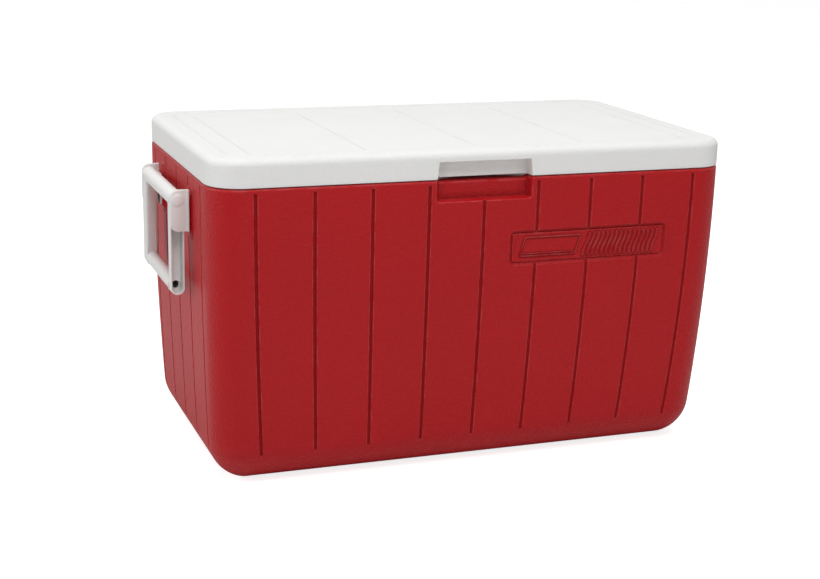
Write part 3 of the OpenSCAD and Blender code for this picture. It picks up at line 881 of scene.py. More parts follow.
    def pad(
        self, mould: Mould, side: int, y: float, z: float,
        half_y: float, half_z: float, r: float, face: float, flare: float = 1.8,
    ) -> None:
        """A raised pad that flares into the wall, with a flat outer face.

        Its rings are rounded rectangles, wider by the flare, and stand out from
        the wall's own surface by a share of the way to the face.

        Args:
            mould: What it is added to.
            side: -1 for the left end, 1 for the right.
            y: Its middle across the chest.
            z: Its middle's height.
            half_y: Half its width.
            half_z: Half its height.
            r: Its corner radius.
            face: Where its outer face lies.
            flare: How far out the flare reaches.
        """
        out = np.array([1.0, 1.0, 0.75, 0.5, 0.25, 0.1]) * flare
        rise = np.array([-0.6, 0.0, 0.1, 0.42, 0.8, 0.93])
        rows = np.array([*zip(out, rise), (0.0, 0.97), (-0.8, 1.0)])
        b = np.radians(np.arange(4)[:, None] * 90 + np.linspace(0, 90, 13))
        sy, sz = np.array([1, -1, -1, 1])[:, None], np.array([1, 1, -1, -1])[:, None]
        wide = rows[:, 0][:, None, None]
        py = (y + sy * (half_y - r) + (r + wide) * np.cos(b)).reshape(len(rows), -1)
        pz = (z + sz * (half_z - r) + (r + wide) * np.sin(b)).reshape(len(rows), -1)
        wall = self.halves(pz)[0]
        px = side * (wall + rows[:, 1][:, None] * (face - wall))
        ids = mould.grid(np.stack([px, py, pz], -1))
        mould.cap(ids[0])
        mould.cap(ids[-1])

    def seat_on_front(self) -> Seat:
        """The badge's seat, tilted as the wall is there."""
        hy = self.halves(self.badge_z + self.badge_half_z * np.array([-1.0, 0.0, 1.0]))[1]
        lean = math.atan((hy[2] - hy[0]) / (2 * self.badge_half_z))
        return Seat(
            (self.badge_x, -hy[1], self.badge_z),
            (1, 0, 0),
            (0, -math.sin(lean), math.cos(lean)),
            (0, -math.cos(lean), -math.sin(lean)),
        )


@dataclass(frozen=True)
class Badge:
    """The badge: a bare framed panel and a row of slanted bars, in low relief."""

    body: Body
    base: float = -1.9
    plate: float = -1.6
    proud: float = -0.3
    back: float = -2.25
    slant: float = 0.28
    left: float = -97.0
    frame: tuple[float, float] = (-89.0, -13.5)
    bars: int = 16
    first: float = -6.5
    last: float = 92.5
    tall: float = 14.4

    def height(self, u: Array, v: Array) -> Array:
        """Relief at a place.

        The frame is an eased ridge inside a slanted rounded rectangle, with a
        second line above its foot. The bars are an eased cosine across the
        pitch, along lines that slant and bend by a sine of the height.
        """
        s = u - self.slant * v
        mid, wide = sum(self.frame) / 2, (self.frame[1] - self.frame[0]) / 2
        deep = within(s - mid, v - 0.8, wide, 12.6, 3.5)
        ridge = ease(deep / 1.0) * (1 - ease((deep - 1.6) / 1.0))
        line = step_at(-np.abs(v + 8.2), -0.7, 0.9) * ease((deep - 3) / 1.2)
        h = self.base + (self.plate - self.base) * step_at(s, self.left, 1.2)
        h = h + (self.proud - h) * np.maximum(ridge, line)
        slope = self.slant - 0.09 * ease((u - self.first) / (self.last - self.first))
        phase = u - slope * v - 1.1 * np.sin(v / self.tall * math.pi) - self.first
        phase = phase / (self.last - self.first) * self.bars
        bar = ease(0.42 - 0.95 * np.cos(2 * math.pi * phase)) * ((phase > 0) & (phase < self.bars))
        bar = bar * step_at(-np.abs(v), -self.tall, 1.6)
        return h + (self.proud - h) * bar

    def build(self) -> bpy.types.Object:
        """A grid of the relief, closed by a skirt and a flat back."""
        long, tall = (h - self.body.bevel for h in (self.body.badge_half, self.body.badge_half_z))
        u, v = fill([-long, long], 0.42)[None], fill([-tall, tall], 0.62)[:, None]
        z = self.height(u + 0 * v, v + 0 * u)
        rim = np.minimum(tall - np.abs(v), long - np.abs(u))
        z = self.back + (z - self.back) * ease(rim / 1.2 + 0.1)
        top = np.stack([u + 0 * v, v + 0 * u, z], -1)
        seat = self.body.seat_on_front()
        mould = Mould()
        mould.grid(seat.put(top), across=False)
        border = np.concatenate([top[0], top[1:, -1], top[-1, ::-1][1:], top[::-1, 0][1:-1]])
        skirt = np.stack([border, border * [1, 1, 0] + [0, 0, self.back]])
        ids = mould.grid(seat.put(skirt))
        mould.cap(ids[-1])
        return mould.build("bare_badge", 60)


@dataclass(frozen=True)
class Tub:
    """The white tub: rim flange, rounded mouth, drafted walls and drain boss."""

    rim_x: float = 283.0
    rim_y: float = 146.0
    rim: float = 362.0
    floor: float = 50.0
    draft: float = 16.0
    wall: float = 2.5
    corner: float = 34.0
    foot: float = 20.0
    flange_x: float = 310.7
    flange_y: float = 173.7
    flange_top: float = 363.3
    boss_x: float = 258.9
    boss_half: float = 17.5
    boss_top: float = 85.5
    notch_half: float = 62.0
    notch_back: float = 23.0

    def build(self) -> bpy.types.Object:
        """One grid of rings from the underside, over the rim, to the floor.

        On the drain's boss the wall is held at the boss's face, by eased steps
        across its sides and top. Behind the finger notch the flange stands back.
        """
        steps = np.radians(np.linspace(0, 90, 9))
        e, rise = self.foot * (1 - np.sin(steps)), self.foot * (1 - np.cos(steps))

        def ring(z: Array, out: Array, r: Array) -> Array:
            """Half sizes, radius and height of the tub's wall moved out."""
            fall = self.draft * (self.rim - z) / (self.rim - self.floor)
            return np.stack([self.rim_x - fall + out, self.rim_y - fall + out, r + 0 * z, z], -1)

        up = ring(self.floor - self.wall + rise, self.wall - e, np.maximum(self.corner - e, 9))
        outer = ring(np.array([200.0, 357.0]), self.wall, np.array(self.corner + self.wall))
        fx, fy, fr, top = self.flange_x, self.flange_y, 29.0, self.flange_top
        flange = [(fx - 8, fy - 8, fr + 3, 359.0), (fx - 0.5, fy - 0.5, fr, 359.0)]
        flange += [(fx - d, fy - d, fr - d, top - h) for d, h in ((0, 3.6), (0, 0.8), (0.25, 0.25), (0.8, 0))]
        mouth = np.radians(np.linspace(0, 90, 9))
        lip = [
            (self.rim_x + out, self.rim_y + out, self.corner + out, top - 5 + drop)
            for out, drop in zip(5 - 5 * np.sin(mouth), 5 * np.cos(mouth))
        ]
        walls = ring(np.linspace(350, self.floor + self.foot + 6, 14), 0, np.array(self.corner))
        close = ring(self.floor + rise[::-1], -e[::-1], np.maximum(self.corner - e[::-1], 9))
        near = ring(np.array([92.0, 89, 87, 86, 85.5, 85, 84, 82]), 0, np.array(self.corner))
        walls = np.concatenate([walls, near])
        walls = walls[np.argsort(-walls[:, 3])]
        rings = np.concatenate([up, outer, np.array(flange), np.array(lip), walls, close])
        inner = len(up) + len(outer) + len(flange)
        side = about([-self.boss_half, self.boss_half], (-1.5, -0.8, -0.3, 0.3, 0.8, 1.5))
        front = about([-self.notch_half, self.notch_half], (-2, -1, 0, 1, 2))
        band = Band.round(fill([-249, 249, *front], 40), fill([-112, 112, *side], 12))
        hx, hy, r, z = rings.T
        points = band.rings(hx, hy, r, z, 0.0, (hx - r)[:, None] / 249, (hy - r)[:, None] / 112)
        across = step_at(-np.abs(points[..., 1]), -self.boss_half, 2.2)
        below = step_at(-points[..., 2], -self.boss_top, 2.2)
        right = (band.angle == 0) * across * below
        right[:inner] = 0
        x = points[..., 0]
        points[..., 0] = x + (np.minimum(x, self.boss_x) - x) * right
        front = (band.angle == -90) * step_at(-np.abs(x), -self.notch_half, 3.0)
        gap = np.where((hx > self.rim_x + 9) & (z > 358), self.notch_back, 0.0)[:, None]
        points[..., 1] += front * gap
        mould = Mould()
        ids = mould.grid(points)
        mould.cap(ids[0])
        mould.cap(ids[-1])
        return mould.build("white_tub")


# ---- lid ----------------------------------------------------------------


@dataclass(frozen=True)
class Lid:
    """The white lid: cover with its finger notch and lines, and inner panel."""

    body: Body
    low: float = 362.8
    top: float = 395.6
    wall: float = 3.0
    edge: float = 9.0
    notch: float = 13.0
    notch_high: float = 382.6
    notch_flare: float = 1.0
    notch_lift: float = 0.5
    lines: int = 5
    pitch: float = 137.0
    line_depth: float = 0.8
    line_front: float = -156.0
    line_rear: float = 130.0
    border: float = 25.0
    border_step: float = 0.35
    plug_x: float = 279.5
    plug_y: float = 142.5
    plug_low: float = 353.0
    cut: float = 13.2
    cut_half: float = 64.3

    def band(self) -> Band:
        """Columns, close together at the lines and the notch's sides."""
        straight = self.body.half_x - self.body.corner
        deep = self.body.half_y - self.body.corner
        near = (-1.9, -1.25, -0.8, -0.4, 0, 0.4, 0.8, 1.25, 1.9)
        k = np.arange(self.lines) - (self.lines - 1) / 2
        front = [-straight, straight, *about(k * self.pitch, near)]
        front += about([-self.body.recess_half, self.body.recess_half], EDGE_OFFSETS)
        side = [-deep, deep, *about([self.line_rear], (-1.5, -0.8, 0, 0.8, 1.5))]
        return Band.round(fill(front, 14), fill(side, 14))

    def depth(self, band: Band, z: Array, margin: float = 0.0) -> Array:
        """How far the wall sinks in at the notch: eased steps across its edges."""
        z = np.asarray(z, float)[:, None]
        x = np.nan_to_num(band.x0, nan=1e4)
        open_x = step_at(-np.abs(x), -self.body.recess_half - margin, 1.7)
        open_z = step_at(-z, -self.notch_high - margin, 1.8)
        return self.notch * open_x * open_z * (band.angle == -90)

    def lifted(self, rings: Array, depth: Array) -> Array:
        """Rings with their foot raised where the notch is, easing out above."""
        rise = self.notch_lift * (1 - ease((rings[..., 2] - self.low) / 4)) * depth / self.notch
        return rings + rise[..., None] * [0, 0, 1]

    def flare(self, band: Band, z: Array) -> Array:
        """Slant of the columns beside the notch: wider below, narrower above."""
        z = np.asarray(z, float)[:, None]
        x = np.nan_to_num(band.x0, nan=1e4)
        near = 1 - ease((np.abs(np.abs(x) - self.body.recess_half) - 4) / 10)
        t = np.clip((z - self.low) / (self.notch_high - self.low), 0, 1)
        fade = 1 - ease((z - self.notch_high - 0.8) / 5)
        return np.sign(x) * self.notch_flare * (1 - 2 * t) * fade * near * (band.angle == -90)

    def relief(self, x: Array, y: Array) -> Array:
        """How far the top sinks: the larger of the lines and the field.

        A line is an eased fall from its middle, and the field inside the border
        is an eased step of the distance from the lid's outline.
        """
        off = np.abs((x + self.pitch / 2) % self.pitch - self.pitch / 2)
        run = step_at(y, self.line_front, 2) * step_at(-y, -self.line_rear, 2)
        lines = self.line_depth * (1 - ease(off / 1.5)) * run
        half_x, half_y = self.body.half_x - self.border, self.body.half_y - self.border
        field = within(x, y, half_x, half_y, self.body.corner - 12)
        return np.maximum(lines, self.border_step * step_at(field, 0, 2.2))

    def cover(self) -> bpy.types.Object:
        """The cover: wall, rounded top edge, top with its relief, and inside."""
        band, b = self.band(), self.body
        marks = [self.low + 0.9, self.top - self.edge, *about([self.notch_high], EDGE_OFFSETS)]
        z = fill([*marks, self.low + 4], 5)
        wall = band.rings(
            0 * z + b.half_x, 0 * z + b.half_y, 0 * z + b.corner, z,
            self.depth(band, z), shift=self.flare(band, z),
        )
        foot = np.array([(3.0, 0.0), (1.0, 0.0), (0.45, 0.12), (0.12, 0.45)])
        zf = self.low + foot[:, 1]
        feet = band.rings(
            b.half_x - foot[:, 0], b.half_y - foot[:, 0], b.corner - foot[:, 0], zf,
            self.depth(band, zf), shift=self.flare(band, zf),
        )
        a = np.radians(np.linspace(0, 90, 13)[1:])
        flat = [11, 15, 19, 22, 23.4, 24.2, 25, 25.8, 26.6, 28, 31.2, 31.8, 32.4, 33, 36, b.corner]
        e = np.concatenate([self.edge * (1 - np.cos(a)), flat])
        zt = np.concatenate([self.top - self.edge + self.edge * np.sin(a), np.full(len(flat), self.top)])
        over = band.rings(b.half_x - e, b.half_y - e, b.corner - e, zt)
        over[12:, :, 2] -= self.relief(over[12:, :, 0], over[12:, :, 1])
        x, y = band.x0[band.angle == -90], band.y0[band.angle == 0]
        x, y = x[~np.isnan(x)], y[~np.isnan(y)]
        gx, gy = np.meshgrid(x, y)
        core = np.stack([gx, gy, self.top - self.relief(gx, gy)], -1)
        zi = np.array([392.0, 387.5, 386.2, 385.2, 384, 375, self.low + 0.2])
        inside = band.rings(
            0 * zi + b.half_x - self.wall, 0 * zi + b.half_y - self.wall,
            0 * zi + b.corner - self.wall, zi,
            self.depth(band, zi, self.wall), shift=self.flare(band, zi),
        )
        wall, feet = self.lifted(wall, self.depth(band, z)), self.lifted(feet, self.depth(band, zf))
        inside = self.lifted(inside, self.depth(band, zi, self.wall))
        mould = Mould()
        ids = mould.grid(np.concatenate([inside, feet, wall, over]))
        mould.cap(ids[0])
        mould.grid(core, across=False)
        return mould.build("white_lid_cover")

    def panel(self) -> bpy.types.Object:
        """The inner panel: flat rim, plug that sits in the tub, sunk middle."""
        b = self.body
        fx, fy, fr = b.half_x - 3.3, b.half_y - 3.3, b.corner - 3.3
        px, py, pr, low = self.plug_x, self.plug_y, 31.0, self.plug_low
        foot = ((0, 366.1), (0, 364.2), (0.2, 363.75), (0.7, 363.6))
        rows = [(fx - d, fy - d, fr - d, h) for d, h in foot]
        plug = [(8, 363.6), (0, 363.6), (-1, low), (-24, low), (-27, low + 1.6), (-60, low + 1.6)]
        side = soften(plug, 3.4, 6)
        rows += [(px + d, py + d, max(pr + d, 6), h) for d, h in side]
        hx, hy, r, z = np.array(rows).T
        straight, deep = 248.0, 111.0
        front = fill([-straight, straight, *about([-self.cut_half, self.cut_half], (-0.6, -0.2, 0.2, 0.6))], 30)
        band = Band.round(front, fill([-deep, deep], 30))
        sx, sy = (hx - r)[:, None] / straight, (hy - r)[:, None] / deep
        x = np.nan_to_num(band.x0, nan=1e4)
        cut = self.cut * step_at(-np.abs(x), -self.cut_half, 0.9) * (band.angle == -90)
        cut = cut * (np.arange(len(rows)) < 4)[:, None]
        sx = np.where((np.arange(len(rows)) < 4)[:, None] & (np.abs(x) < 80), 1.0, sx)
        mould = Mould()
        ids = mould.grid(band.rings(hx, hy, r, z, cut, sx, sy))
        mould.cap(ids[0])
        mould.cap(ids[-1])
        return mould.build("white_lid_panel")


# ---- fittings -----------------------------------------------------------


@dataclass(frozen=True)
class Screw:
    """A countersunk screw with a slightly domed head and a cross recess."""

    head: float = 3.4
    shank: float = 1.6
    long: float = 14.0
    dome: float = 0.35

    def add(self, mould: Mould, seat: Seat) -> None:
        """Adds one, its head facing along the seat's w.

        The dome's height falls with the square of the radius. The cross sinks by
        eased steps across the width and the ends of two crossed bars.
        """
        r = np.linspace(self.head, 0, 15)[:, None]
        a = np.linspace(0, 2 * np.pi, 40, endpoint=False)[None]
        u, v = r * np.cos(a), r * np.sin(a)
        bar = step_at(-np.abs(v), -0.45, 0.5) * step_at(-np.abs(u), -1.9, 0.6)
        post = step_at(-np.abs(u), -0.45, 0.5) * step_at(-np.abs(v), -1.9, 0.6)
        top = 0.08 + self.dome * (1 - (r / self.head) ** 2) - 1.1 * np.maximum(bar, post)
        below = [(0, -self.long), (self.shank, -self.long), (self.shank, -1.9), (self.head - 0.1, -0.1)]
        rows = np.array(below).T[..., None] + 0 * a
        shank = np.stack([rows[0] * np.cos(a), rows[0] * np.sin(a), rows[1]], -1)
        mould.grid(seat.put(np.concatenate([shank, np.stack([u, v, top + 0 * u], -1)])))


@dataclass(frozen=True)
class Hinge:
    """One rear hinge: two leaves with their knuckles, and the screws."""

    name: str
    x: float
    long: float = 62.0
    leaf: float = 3.0
    face: float = 191.3
    axis_y: float = 193.6
    axis_z: float = 362.8
    barrel: float = 5.0
    pin: float = 2.0
    side: float = 14.0
    drop: float = 45.0
    rise: float = 23.0

    def plate(
        self, mould: Mould, x0: float, x1: float, z0: float, z1: float, edge: float = 0.6
    ) -> None:
        """A leaf's plate between two places and two heights."""
        seat = Seat((self.x + (x0 + x1) / 2, 0, (z0 + z1) / 2), (-1, 0, 0), (0, 0, 1), (0, 1, 0))
        mould.slab(seat, (x1 - x0) / 2, (z1 - z0) / 2, self.face - self.leaf, self.face, 2.5, edge)

    def knuckle(self, mould: Mould, x0: float, x1: float) -> None:
        """A rounded tube about the hinge line."""
        seat = Seat((self.x, self.axis_y, self.axis_z), (0, 1, 0), (0, 0, 1), (1, 0, 0))
        bore = self.pin + 0.1
        path = [(bore, x0), (self.barrel, x0), (self.barrel, x1), (bore, x1), (bore, (x0 + x1) / 2)]
        mould.lathe(seat, soften([(bore, (x0 + x1) / 2), *path], 0.7, 3), 48, ring=True)

    def body_leaf(self) -> bpy.types.Object:
        """The lower leaf with its two outer knuckles."""
        half, mould = self.long / 2, Mould()
        self.plate(mould, -half, half, self.axis_z - self.drop, self.axis_z - self.barrel - 0.3)
        for a, b in ((-half, -half + self.side), (half - self.side, half)):
            self.plate(mould, a, b, self.axis_z - self.barrel - 4, self.axis_z + 0.5, 0.4)
            self.knuckle(mould, a, b)
        return mould.build(f"hinge_{self.name}_lower_leaf")

    def lid_leaf(self) -> bpy.types.Object:
        """The upper leaf with its middle knuckle and stop fin."""
        half, mould = self.long / 2, Mould()
        mid = half - self.side - 0.3
        self.plate(mould, -half, half, self.axis_z + self.barrel + 0.3, self.axis_z + self.rise)
        self.plate(mould, -mid, mid, self.axis_z - 0.5, self.axis_z + self.barrel + 4, 0.4)
        self.knuckle(mould, -mid, mid)
        tilt = math.radians(15)
        out, up = (0, math.cos(tilt), math.sin(tilt)), (0, -math.sin(tilt), math.cos(tilt))
        seat = Seat((self.x, self.axis_y, self.axis_z), (1, 0, 0), out, up)
        seat = Seat(tuple(seat.put(np.array([0, 6.25, 0]))), (1, 0, 0), out, up)
        mould.slab(seat, mid - 1, 2.7, -1.2, 1.2, 0.8, 0.4)
        return mould.build(f"hinge_{self.name}_upper_leaf")

    def screws(self, mould: Mould, heights: Sequence[float]) -> None:
        """Adds screws at both sides, at heights from the hinge line."""
        for k in (-1, 1):
            for h in heights:
                at = (self.x + k * (self.long / 2 - 12), self.face, self.axis_z + h)
                Screw().add(mould, Seat(at, (-1, 0, 0), (0, 0, 1), (0, 1, 0)))


@dataclass(frozen=True)
class Handle:
    """One end's handle: bail with channel arms, brackets and screws."""

    name: str
    side: int
    pivot_x: float = 342.0
    pivot_z: float = 332.5
    drop: float = 105.5
    half: float = 84.0
    arm_deep: float = 16.0
    arm: float = 8.5
    channel: float = 6.3
    floor: float = 3.0
    channel_top: float = -10.0
    bar: float = 9.2
    pin: float = 4.0
    grip: float = 8.3
    bore: float = 6.0
    ear_in: float = 84.6
    ear: float = 4.0
    ear_out: float = 8.5
    ear_wall: float = 13.2
    ear_r: float = 9.0
    bracket_low: float = 295.5
    bracket_high: float = 345.0
    foot: float = 2.5
    foot_in: float = 68.6
    foot_high: float = 334.5
    flange: float = 90.6
    boss: float = 8.4
    boss_out: float = 90.0
    screw_y: float = 76.0

    def seat(self, way: int = 1, z: float = 0.0) -> Seat:
        """Seat on the pivot line: u outward, v up, w along Y or against it."""
        at = (self.side * self.pivot_x, 0, self.pivot_z + z)
        return Seat(at, (self.side, 0, 0), (0, 0, 1), (0, way, 0))

    def loop(self, r: float, top: float, low: float, ring: float = 0.0) -> Array:
        """One loop of an arm: half circles of radius r about top and low.

        Where ring is above 0 it is the share of a circle about low instead, so
        that every loop has the same points in the same order.
        """
        arc, straight = np.linspace(0, 180, 25), np.linspace(0, 1, 20)[1:-1]
        over = np.stack([r * np.cos(np.radians(arc)), top + r * np.sin(np.radians(arc))], -1)
        under = np.stack([-r * np.cos(np.radians(arc)), low - r * np.sin(np.radians(arc))], -1)
        down = np.stack([np.full(18, -r), top + (low - top) * straight], -1)
        up = np.stack([np.full(18, r), low + (top - low) * straight], -1)
        if ring:
            lean = 52.0
            a = np.radians(lean + arc / 180 * (180 - 2 * lean))
            over = np.stack([r * np.cos(a), low + r * np.sin(a)], -1)
            a = np.radians(180 - lean + lean * straight)
            down = np.stack([r * np.cos(a), low + r * np.sin(a)], -1)
            a = np.radians(lean * straight)
            up = np.stack([r * np.cos(a), low + r * np.sin(a)], -1)
        return np.concatenate([over, down, under, up])

    def arm_form(self, mould: Mould, way: int) -> None:
        """One arm: loops from the bore over the channel, rim and wall, and back."""
        inner, outer, low = self.half - self.arm_deep, self.half, -self.drop
        base = inner + self.floor
        top = self.channel_top - self.channel
        rows = [
            (self.bore, 0, inner - 0.3, 1), (self.bore, 0, base - 0.5, 1), (self.bore + 0.35, 0, base, 1),
            (self.channel - 0.25, top, base, 0), (self.channel, top, base + 0.5, 0),
            (self.channel, top, outer - 5, 0), (self.channel + 0.05, top, outer - 0.9, 0),
            (self.channel + 0.3, top, outer - 0.3, 0), (self.channel + 0.8, top, outer, 0),
            (self.arm - 0.8, 0, outer, 0), (self.arm - 0.3, 0, outer - 0.3, 0), (self.arm, 0, outer - 0.9, 0),
            (self.arm, 0, inner + 5.5, 0), (self.arm - 0.25, 0, inner + 3.7, 0),
            (self.arm - 1.0, 0, inner + 2.0, 0), (self.arm - 2.2, 0, inner + 0.8, 0),
            (self.arm - 3.6, 0, inner + 0.2, 0), (self.arm - 5, 0, inner, 0),
            (self.grip - 1.5, 0, inner - 0.3, 1),
        ]
        loops = [
            np.concatenate([self.loop(r, t, low, ring), np.full((85 + 1, 1), y)], axis=1)
            for r, t, y, ring in rows
        ]
        mould.grid(self.seat(way).put(np.stack(loops)), along=True)

    def bail(self) -> bpy.types.Object:
        """The bail: top bar with its pins, two arms and the grip, a tube bored through."""
        mould = Mould()
        for way in (-1, 1):
            self.arm_form(mould, way)
        e, pin = self.half, self.half + self.ear - 1
        half = [(self.bar, e), (self.pin, e), (self.pin, pin), (0, pin)]
        bar = [(r, -y) for r, y in half[::-1]] + half
        mould.lathe(self.seat(), soften(bar, 1.3), 64)
        e = self.half - self.arm_deep + 0.6
        y = fill([-e, e, *about([-e, e], (-9, -6, -3.5, -1.8, -0.6, 0.6, 1.8, 3.5, 6, 9))], 12)
        y = y[(y >= -e) & (y <= e)]
        flare = self.grip + 0.9 * np.exp(-(e - np.abs(y)) / 2.2)
        skin = np.stack([flare, y], -1)
        core = np.stack([0 * y + self.bore, y[::-1]], -1)
        mould.lathe(self.seat(1, -self.drop), np.concatenate([skin, core]), 56, ring=True)
        return mould.build(f"handle_{self.name}_swing_bail")

    def bracket(self, way: int) -> bpy.types.Object:
        """One bracket: foot on the wall, ear beside the arm, domed boss."""
        mould, z = Mould(), (self.bracket_low + self.bracket_high) / 2
        high, place = (self.bracket_high - self.bracket_low) / 2, "rear" if way > 0 else "front"
        mid = (self.ear_out - self.ear_wall) / 2
        at = (self.side * (self.pivot_x + mid), 0, z)
        seat = Seat(at, (self.side, 0, 0), (0, 0, 1), (0, way, 0))
        radii = (self.ear_r, 1.0, 1.0, self.ear_r)
        wide, outer = (self.ear_out + self.ear_wall) / 2, self.ear_in + self.ear
        mould.slab(seat, wide, high, self.ear_in, outer, radii, 0.9)
        face, wall = self.ear_in + self.ear, self.side * (self.pivot_x - self.ear_wall)
        slabs = (self.foot_in, face - 0.3, self.foot_high), (face - 1, self.flange, self.bracket_high)
        for y0, y1, top in slabs:
            at = (wall, way * (y0 + y1) / 2, (self.bracket_low + top) / 2)
            seat = Seat(at, (0, 1, 0), (0, 0, 1), (self.side, 0, 0))
            mould.slab(seat, (y1 - y0) / 2, (top - self.bracket_low) / 2, 0, self.foot, 1.2, 0.6)
        dome = [
            (0, face - 1), (self.boss, face - 1), (self.boss, face - 0.1),
            (self.boss - 2.2, face + 0.9), (self.boss - 5.0, self.boss_out), (0, self.boss_out),
        ]
        mould.lathe(self.seat(way), soften(dome, 2.4, 6), 64)
        return mould.build(f"handle_{self.name}_{place}_bracket")

    def screws(self) -> bpy.types.Object:
        """The four screws through the feet, behind the arms."""
        mould = Mould()
        x = self.side * (self.pivot_x - self.ear_wall + self.foot)
        for way in (-1, 1):
            for h in (8.0, 23.0):
                at = (x, way * self.screw_y, self.bracket_low + h)
                Screw().add(mould, Seat(at, (0, 1, 0), (0, 0, 1), (self.side, 0, 0)))
        return mould.build(f"handle_{self.name}_bracket_screws")


@dataclass(frozen=True)
class Drain:
    """The drain on the right end: flanged spout and ribbed screw cap."""

    z: float = 68.0
    bore: float = 6.5
    tube: float = 8.7
    inner: float = 251.3
    flange_x: float = 321.1
    flange: float = 15.5
    thick: float = 3.0
    spout: float = 337.1
    cap_x: float = 324.4
    cap_end: float = 339.9
    cap: float = 11.3
    ribs: int = 12

    def seat(self) -> Seat:
        """Seat on the drain's axis, w toward +X."""
        return Seat((0, 0, self.z), (0, 1, 0), (0, 0, 1), (1, 0, 0))

    def spout_form(self) -> bpy.types.Object:
        """A tube with a rounded flange, turned as one closed profile."""
        mould, far = Mould(), self.flange_x + self.thick
        path = [
            (self.bore, 300), (self.bore, self.inner), (self.tube, self.inner), (self.tube, self.flange_x),
            (self.flange, self.flange_x), (self.flange, far), (self.tube, far), (self.tube, self.spout),
            (self.bore, self.spout), (self.bore, 300),
        ]
        mould.lathe(self.seat(), soften(path, 0.8), 64, ring=True)
        return mould.build("drain_flanged_spout")

    def cap_form(self) -> bpy.types.Object:
        """The cap: a turned cup whose wall swells into ribs, eased cosines round it."""
        mould, wall = Mould(), self.tube + 0.15
        end = self.cap_end
        path = [(0, end - 2.4), (wall, end - 2.4), (wall, self.cap_x), (self.cap, self.cap_x)]
        path += [(self.cap, end), (8.6, end), (8.0, end - 0.8), (0, end - 0.8)]
        profile = soften(path, 0.9)
        a = np.linspace(0, 2 * np.pi, 144, endpoint=False)[None]
        rib = 0.9 * ease(np.cos(self.ribs * a) * 1.2 - 0.1)
        r, h = profile.T
        on = (r > self.cap - 0.4) & (h < end - 1) & (h > self.cap_x + 0.5)
        mould.lathe(self.seat(), profile, 144, ripple=on[:, None] * rib)
        return mould.build("drain_ribbed_cap")


# ---- studio -------------------------------------------------------------


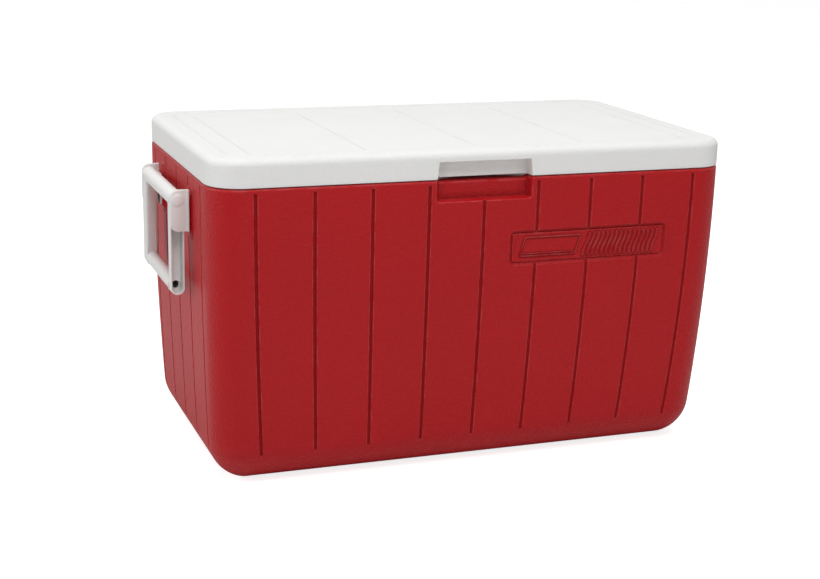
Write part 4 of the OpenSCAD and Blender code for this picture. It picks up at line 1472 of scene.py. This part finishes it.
@dataclass(frozen=True)
class Studio:
    """Pale floor, white surround, soft lamps and the camera."""

    white: float = 1.0
    fill_level: float = 0.22
    floor_pale: float = 0.8
    floor_glow: float = 0.8
    lens: float = 68.24
    place: tuple[float, float, float] = (-0.6997, -1.8279, 0.7007)
    yaw: float = -20.371
    pitch: float = 75.084
    roll: float = 1.336

    def camera(self) -> None:
        """A camera turned by yaw about Z, then pitch about X, then roll."""
        made = bpy.data.cameras.new("camera")
        made.lens, made.sensor_width = self.lens, 36
        made.clip_end = 50
        camera = bpy.data.objects.new("camera", made)
        bpy.context.scene.collection.objects.link(camera)
        turn = Matrix.Rotation(math.radians(self.yaw), 4, "Z")
        turn = turn @ Matrix.Rotation(math.radians(self.pitch), 4, "X")
        turn = turn @ Matrix.Rotation(math.radians(self.roll), 4, "Z")
        camera.matrix_world = Matrix.Translation(self.place) @ turn
        bpy.context.scene.camera = camera

    def seen(self, w: Wires) -> bpy.types.NodeSocket:
        """1 for rays from the camera, a mirror or glass."""
        path = w.add("LightPath")
        both = w.sum("MAXIMUM", path.outputs["Is Camera Ray"], path.outputs["Is Glossy Ray"])
        return w.sum("MAXIMUM", both, path.outputs["Is Transmission Ray"])

    def surround(self) -> None:
        """White where it is seen, a plain level where it lights."""
        world = bpy.data.worlds.new("surround")
        w = Wires.cleared(world)
        level = w.add("MapRange", {"Value": self.seen(w), 3: self.fill_level, 4: self.white})
        back = w.add("Background", {"Color": (1, 1, 1, 1), "Strength": level.outputs[0]})
        w.add("OutputWorld", {"Surface": back.outputs[0]})
        bpy.context.scene.world = world

    def floor(self) -> None:
        """A wide pale floor, white in the open and darker in the shadow."""
        mould = Mould()
        x, y = np.meshgrid(np.linspace(-9000, 9000, 5), np.linspace(-9000, 9000, 5))
        mould.grid(np.stack([x, y, 0 * x - 0.3], -1), across=False)
        floor = mould.build("floor")
        made = bpy.data.materials.new("pale_floor")
        w = Wires.cleared(made)
        matt = w.add("BsdfDiffuse", {"Color": (*[self.floor_pale] * 3, 1)})
        glow = w.add("Emission", {"Color": (1, 1, 1, 1), "Strength": self.floor_glow})
        lit = w.add("AddShader", {0: matt.outputs[0], 1: glow.outputs[0]})
        camera = w.add("LightPath").outputs["Is Camera Ray"]
        both = w.add("MixShader", {0: camera, 1: matt.outputs[0], 2: lit.outputs[0]})
        w.add("OutputMaterial", {"Surface": both.outputs[0]})
        floor.data.materials.append(made)

    def lamp(self, name: str, place: tuple[float, float, float], size: float, power: float) -> None:
        """A square lamp aimed at the chest."""
        made = bpy.data.lights.new(name, "AREA")
        made.size, made.energy = size, power
        lamp = bpy.data.objects.new(name, made)
        bpy.context.scene.collection.objects.link(lamp)
        lamp.location = place
        aim = Vector((0, 0, 0.2)) - lamp.location
        lamp.rotation_euler = aim.to_track_quat("-Z", "Y").to_euler()

    def build(self) -> None:
        """Sets up everything that isn't the chest."""
        bpy.context.scene.view_settings.view_transform = "Standard"
        self.camera()
        self.surround()
        self.floor()
        self.lamp("over_front", (-0.2, -1.5, 3.0), 2.0, 65)
        self.lamp("over_lid", (0.2, 0.3, 3.2), 2.4, 20)
        self.lamp("left", (-3.0, 0.5, 1.4), 1.4, 30)
        self.lamp("low", (0.1, -2.8, 0.35), 1.6, 5.5)


def main() -> None:
    """Builds the chest, piece by piece, and then the studio."""
    body = Body()
    red, white = Finish.BODY_RED, Finish.LID_WHITE
    red.dress(body.shell(), "chest", "body_shell")
    red.dress(Badge(body).build(), "chest", "badge_plate")
    Finish.LINER_WHITE.dress(Tub().build(), "chest", "body_liner")
    lid = Lid(body)
    white.dress(lid.cover(), "lid", "lid_cover")
    Finish.LINER_WHITE.dress(lid.panel(), "lid", "lid_liner")
    lower, upper = Mould(), Mould()
    for name, x in (("left", -200.0), ("right", 200.0)):
        hinge = Hinge(name, x)
        Finish.FITTING_WHITE.dress(hinge.body_leaf(), "chest", f"hinge_{name}_body_leaf")
        Finish.FITTING_WHITE.dress(hinge.lid_leaf(), "lid", f"hinge_{name}_lid_leaf")
        hinge.screws(lower, (-17.0, -37.0))
        hinge.screws(upper, (14.3,))
    Finish.STEEL.dress(lower.build("hinge_lower_screws"), "chest", "hinge_body_screws")
    Finish.STEEL.dress(upper.build("hinge_upper_screws"), "lid", "hinge_lid_screws")
    for name, side in (("left", -1), ("right", 1)):
        handle = Handle(name, side)
        Finish.HANDLE_WHITE.dress(handle.bail(), f"handle_{name}", f"handle_{name}_bail")
        for way, place in ((-1, "front"), (1, "rear")):
            Finish.HANDLE_WHITE.dress(handle.bracket(way), "chest", f"handle_{name}_bracket_{place}")
        Finish.STEEL.dress(handle.screws(), "chest", f"handle_{name}_screws")
    drain = Drain()
    Finish.FITTING_WHITE.dress(drain.spout_form(), "chest", "drain_spout")
    Finish.FITTING_WHITE.dress(drain.cap_form(), "drain_cap", "drain_cap")
    Finish.FITTING_WHITE.keep("drain_nut")
    Finish.RUBBER.keep("drain_washer")
    Finish.STEEL.keep("hinge_left_pin", "hinge_right_pin")
    Finish.INSULATION.keep("body_foam", "lid_foam")
    Studio().build()


if __name__ == "__main__":
    logging.basicConfig(level=logging.INFO, format="%(name)s: %(message)s")
    main()
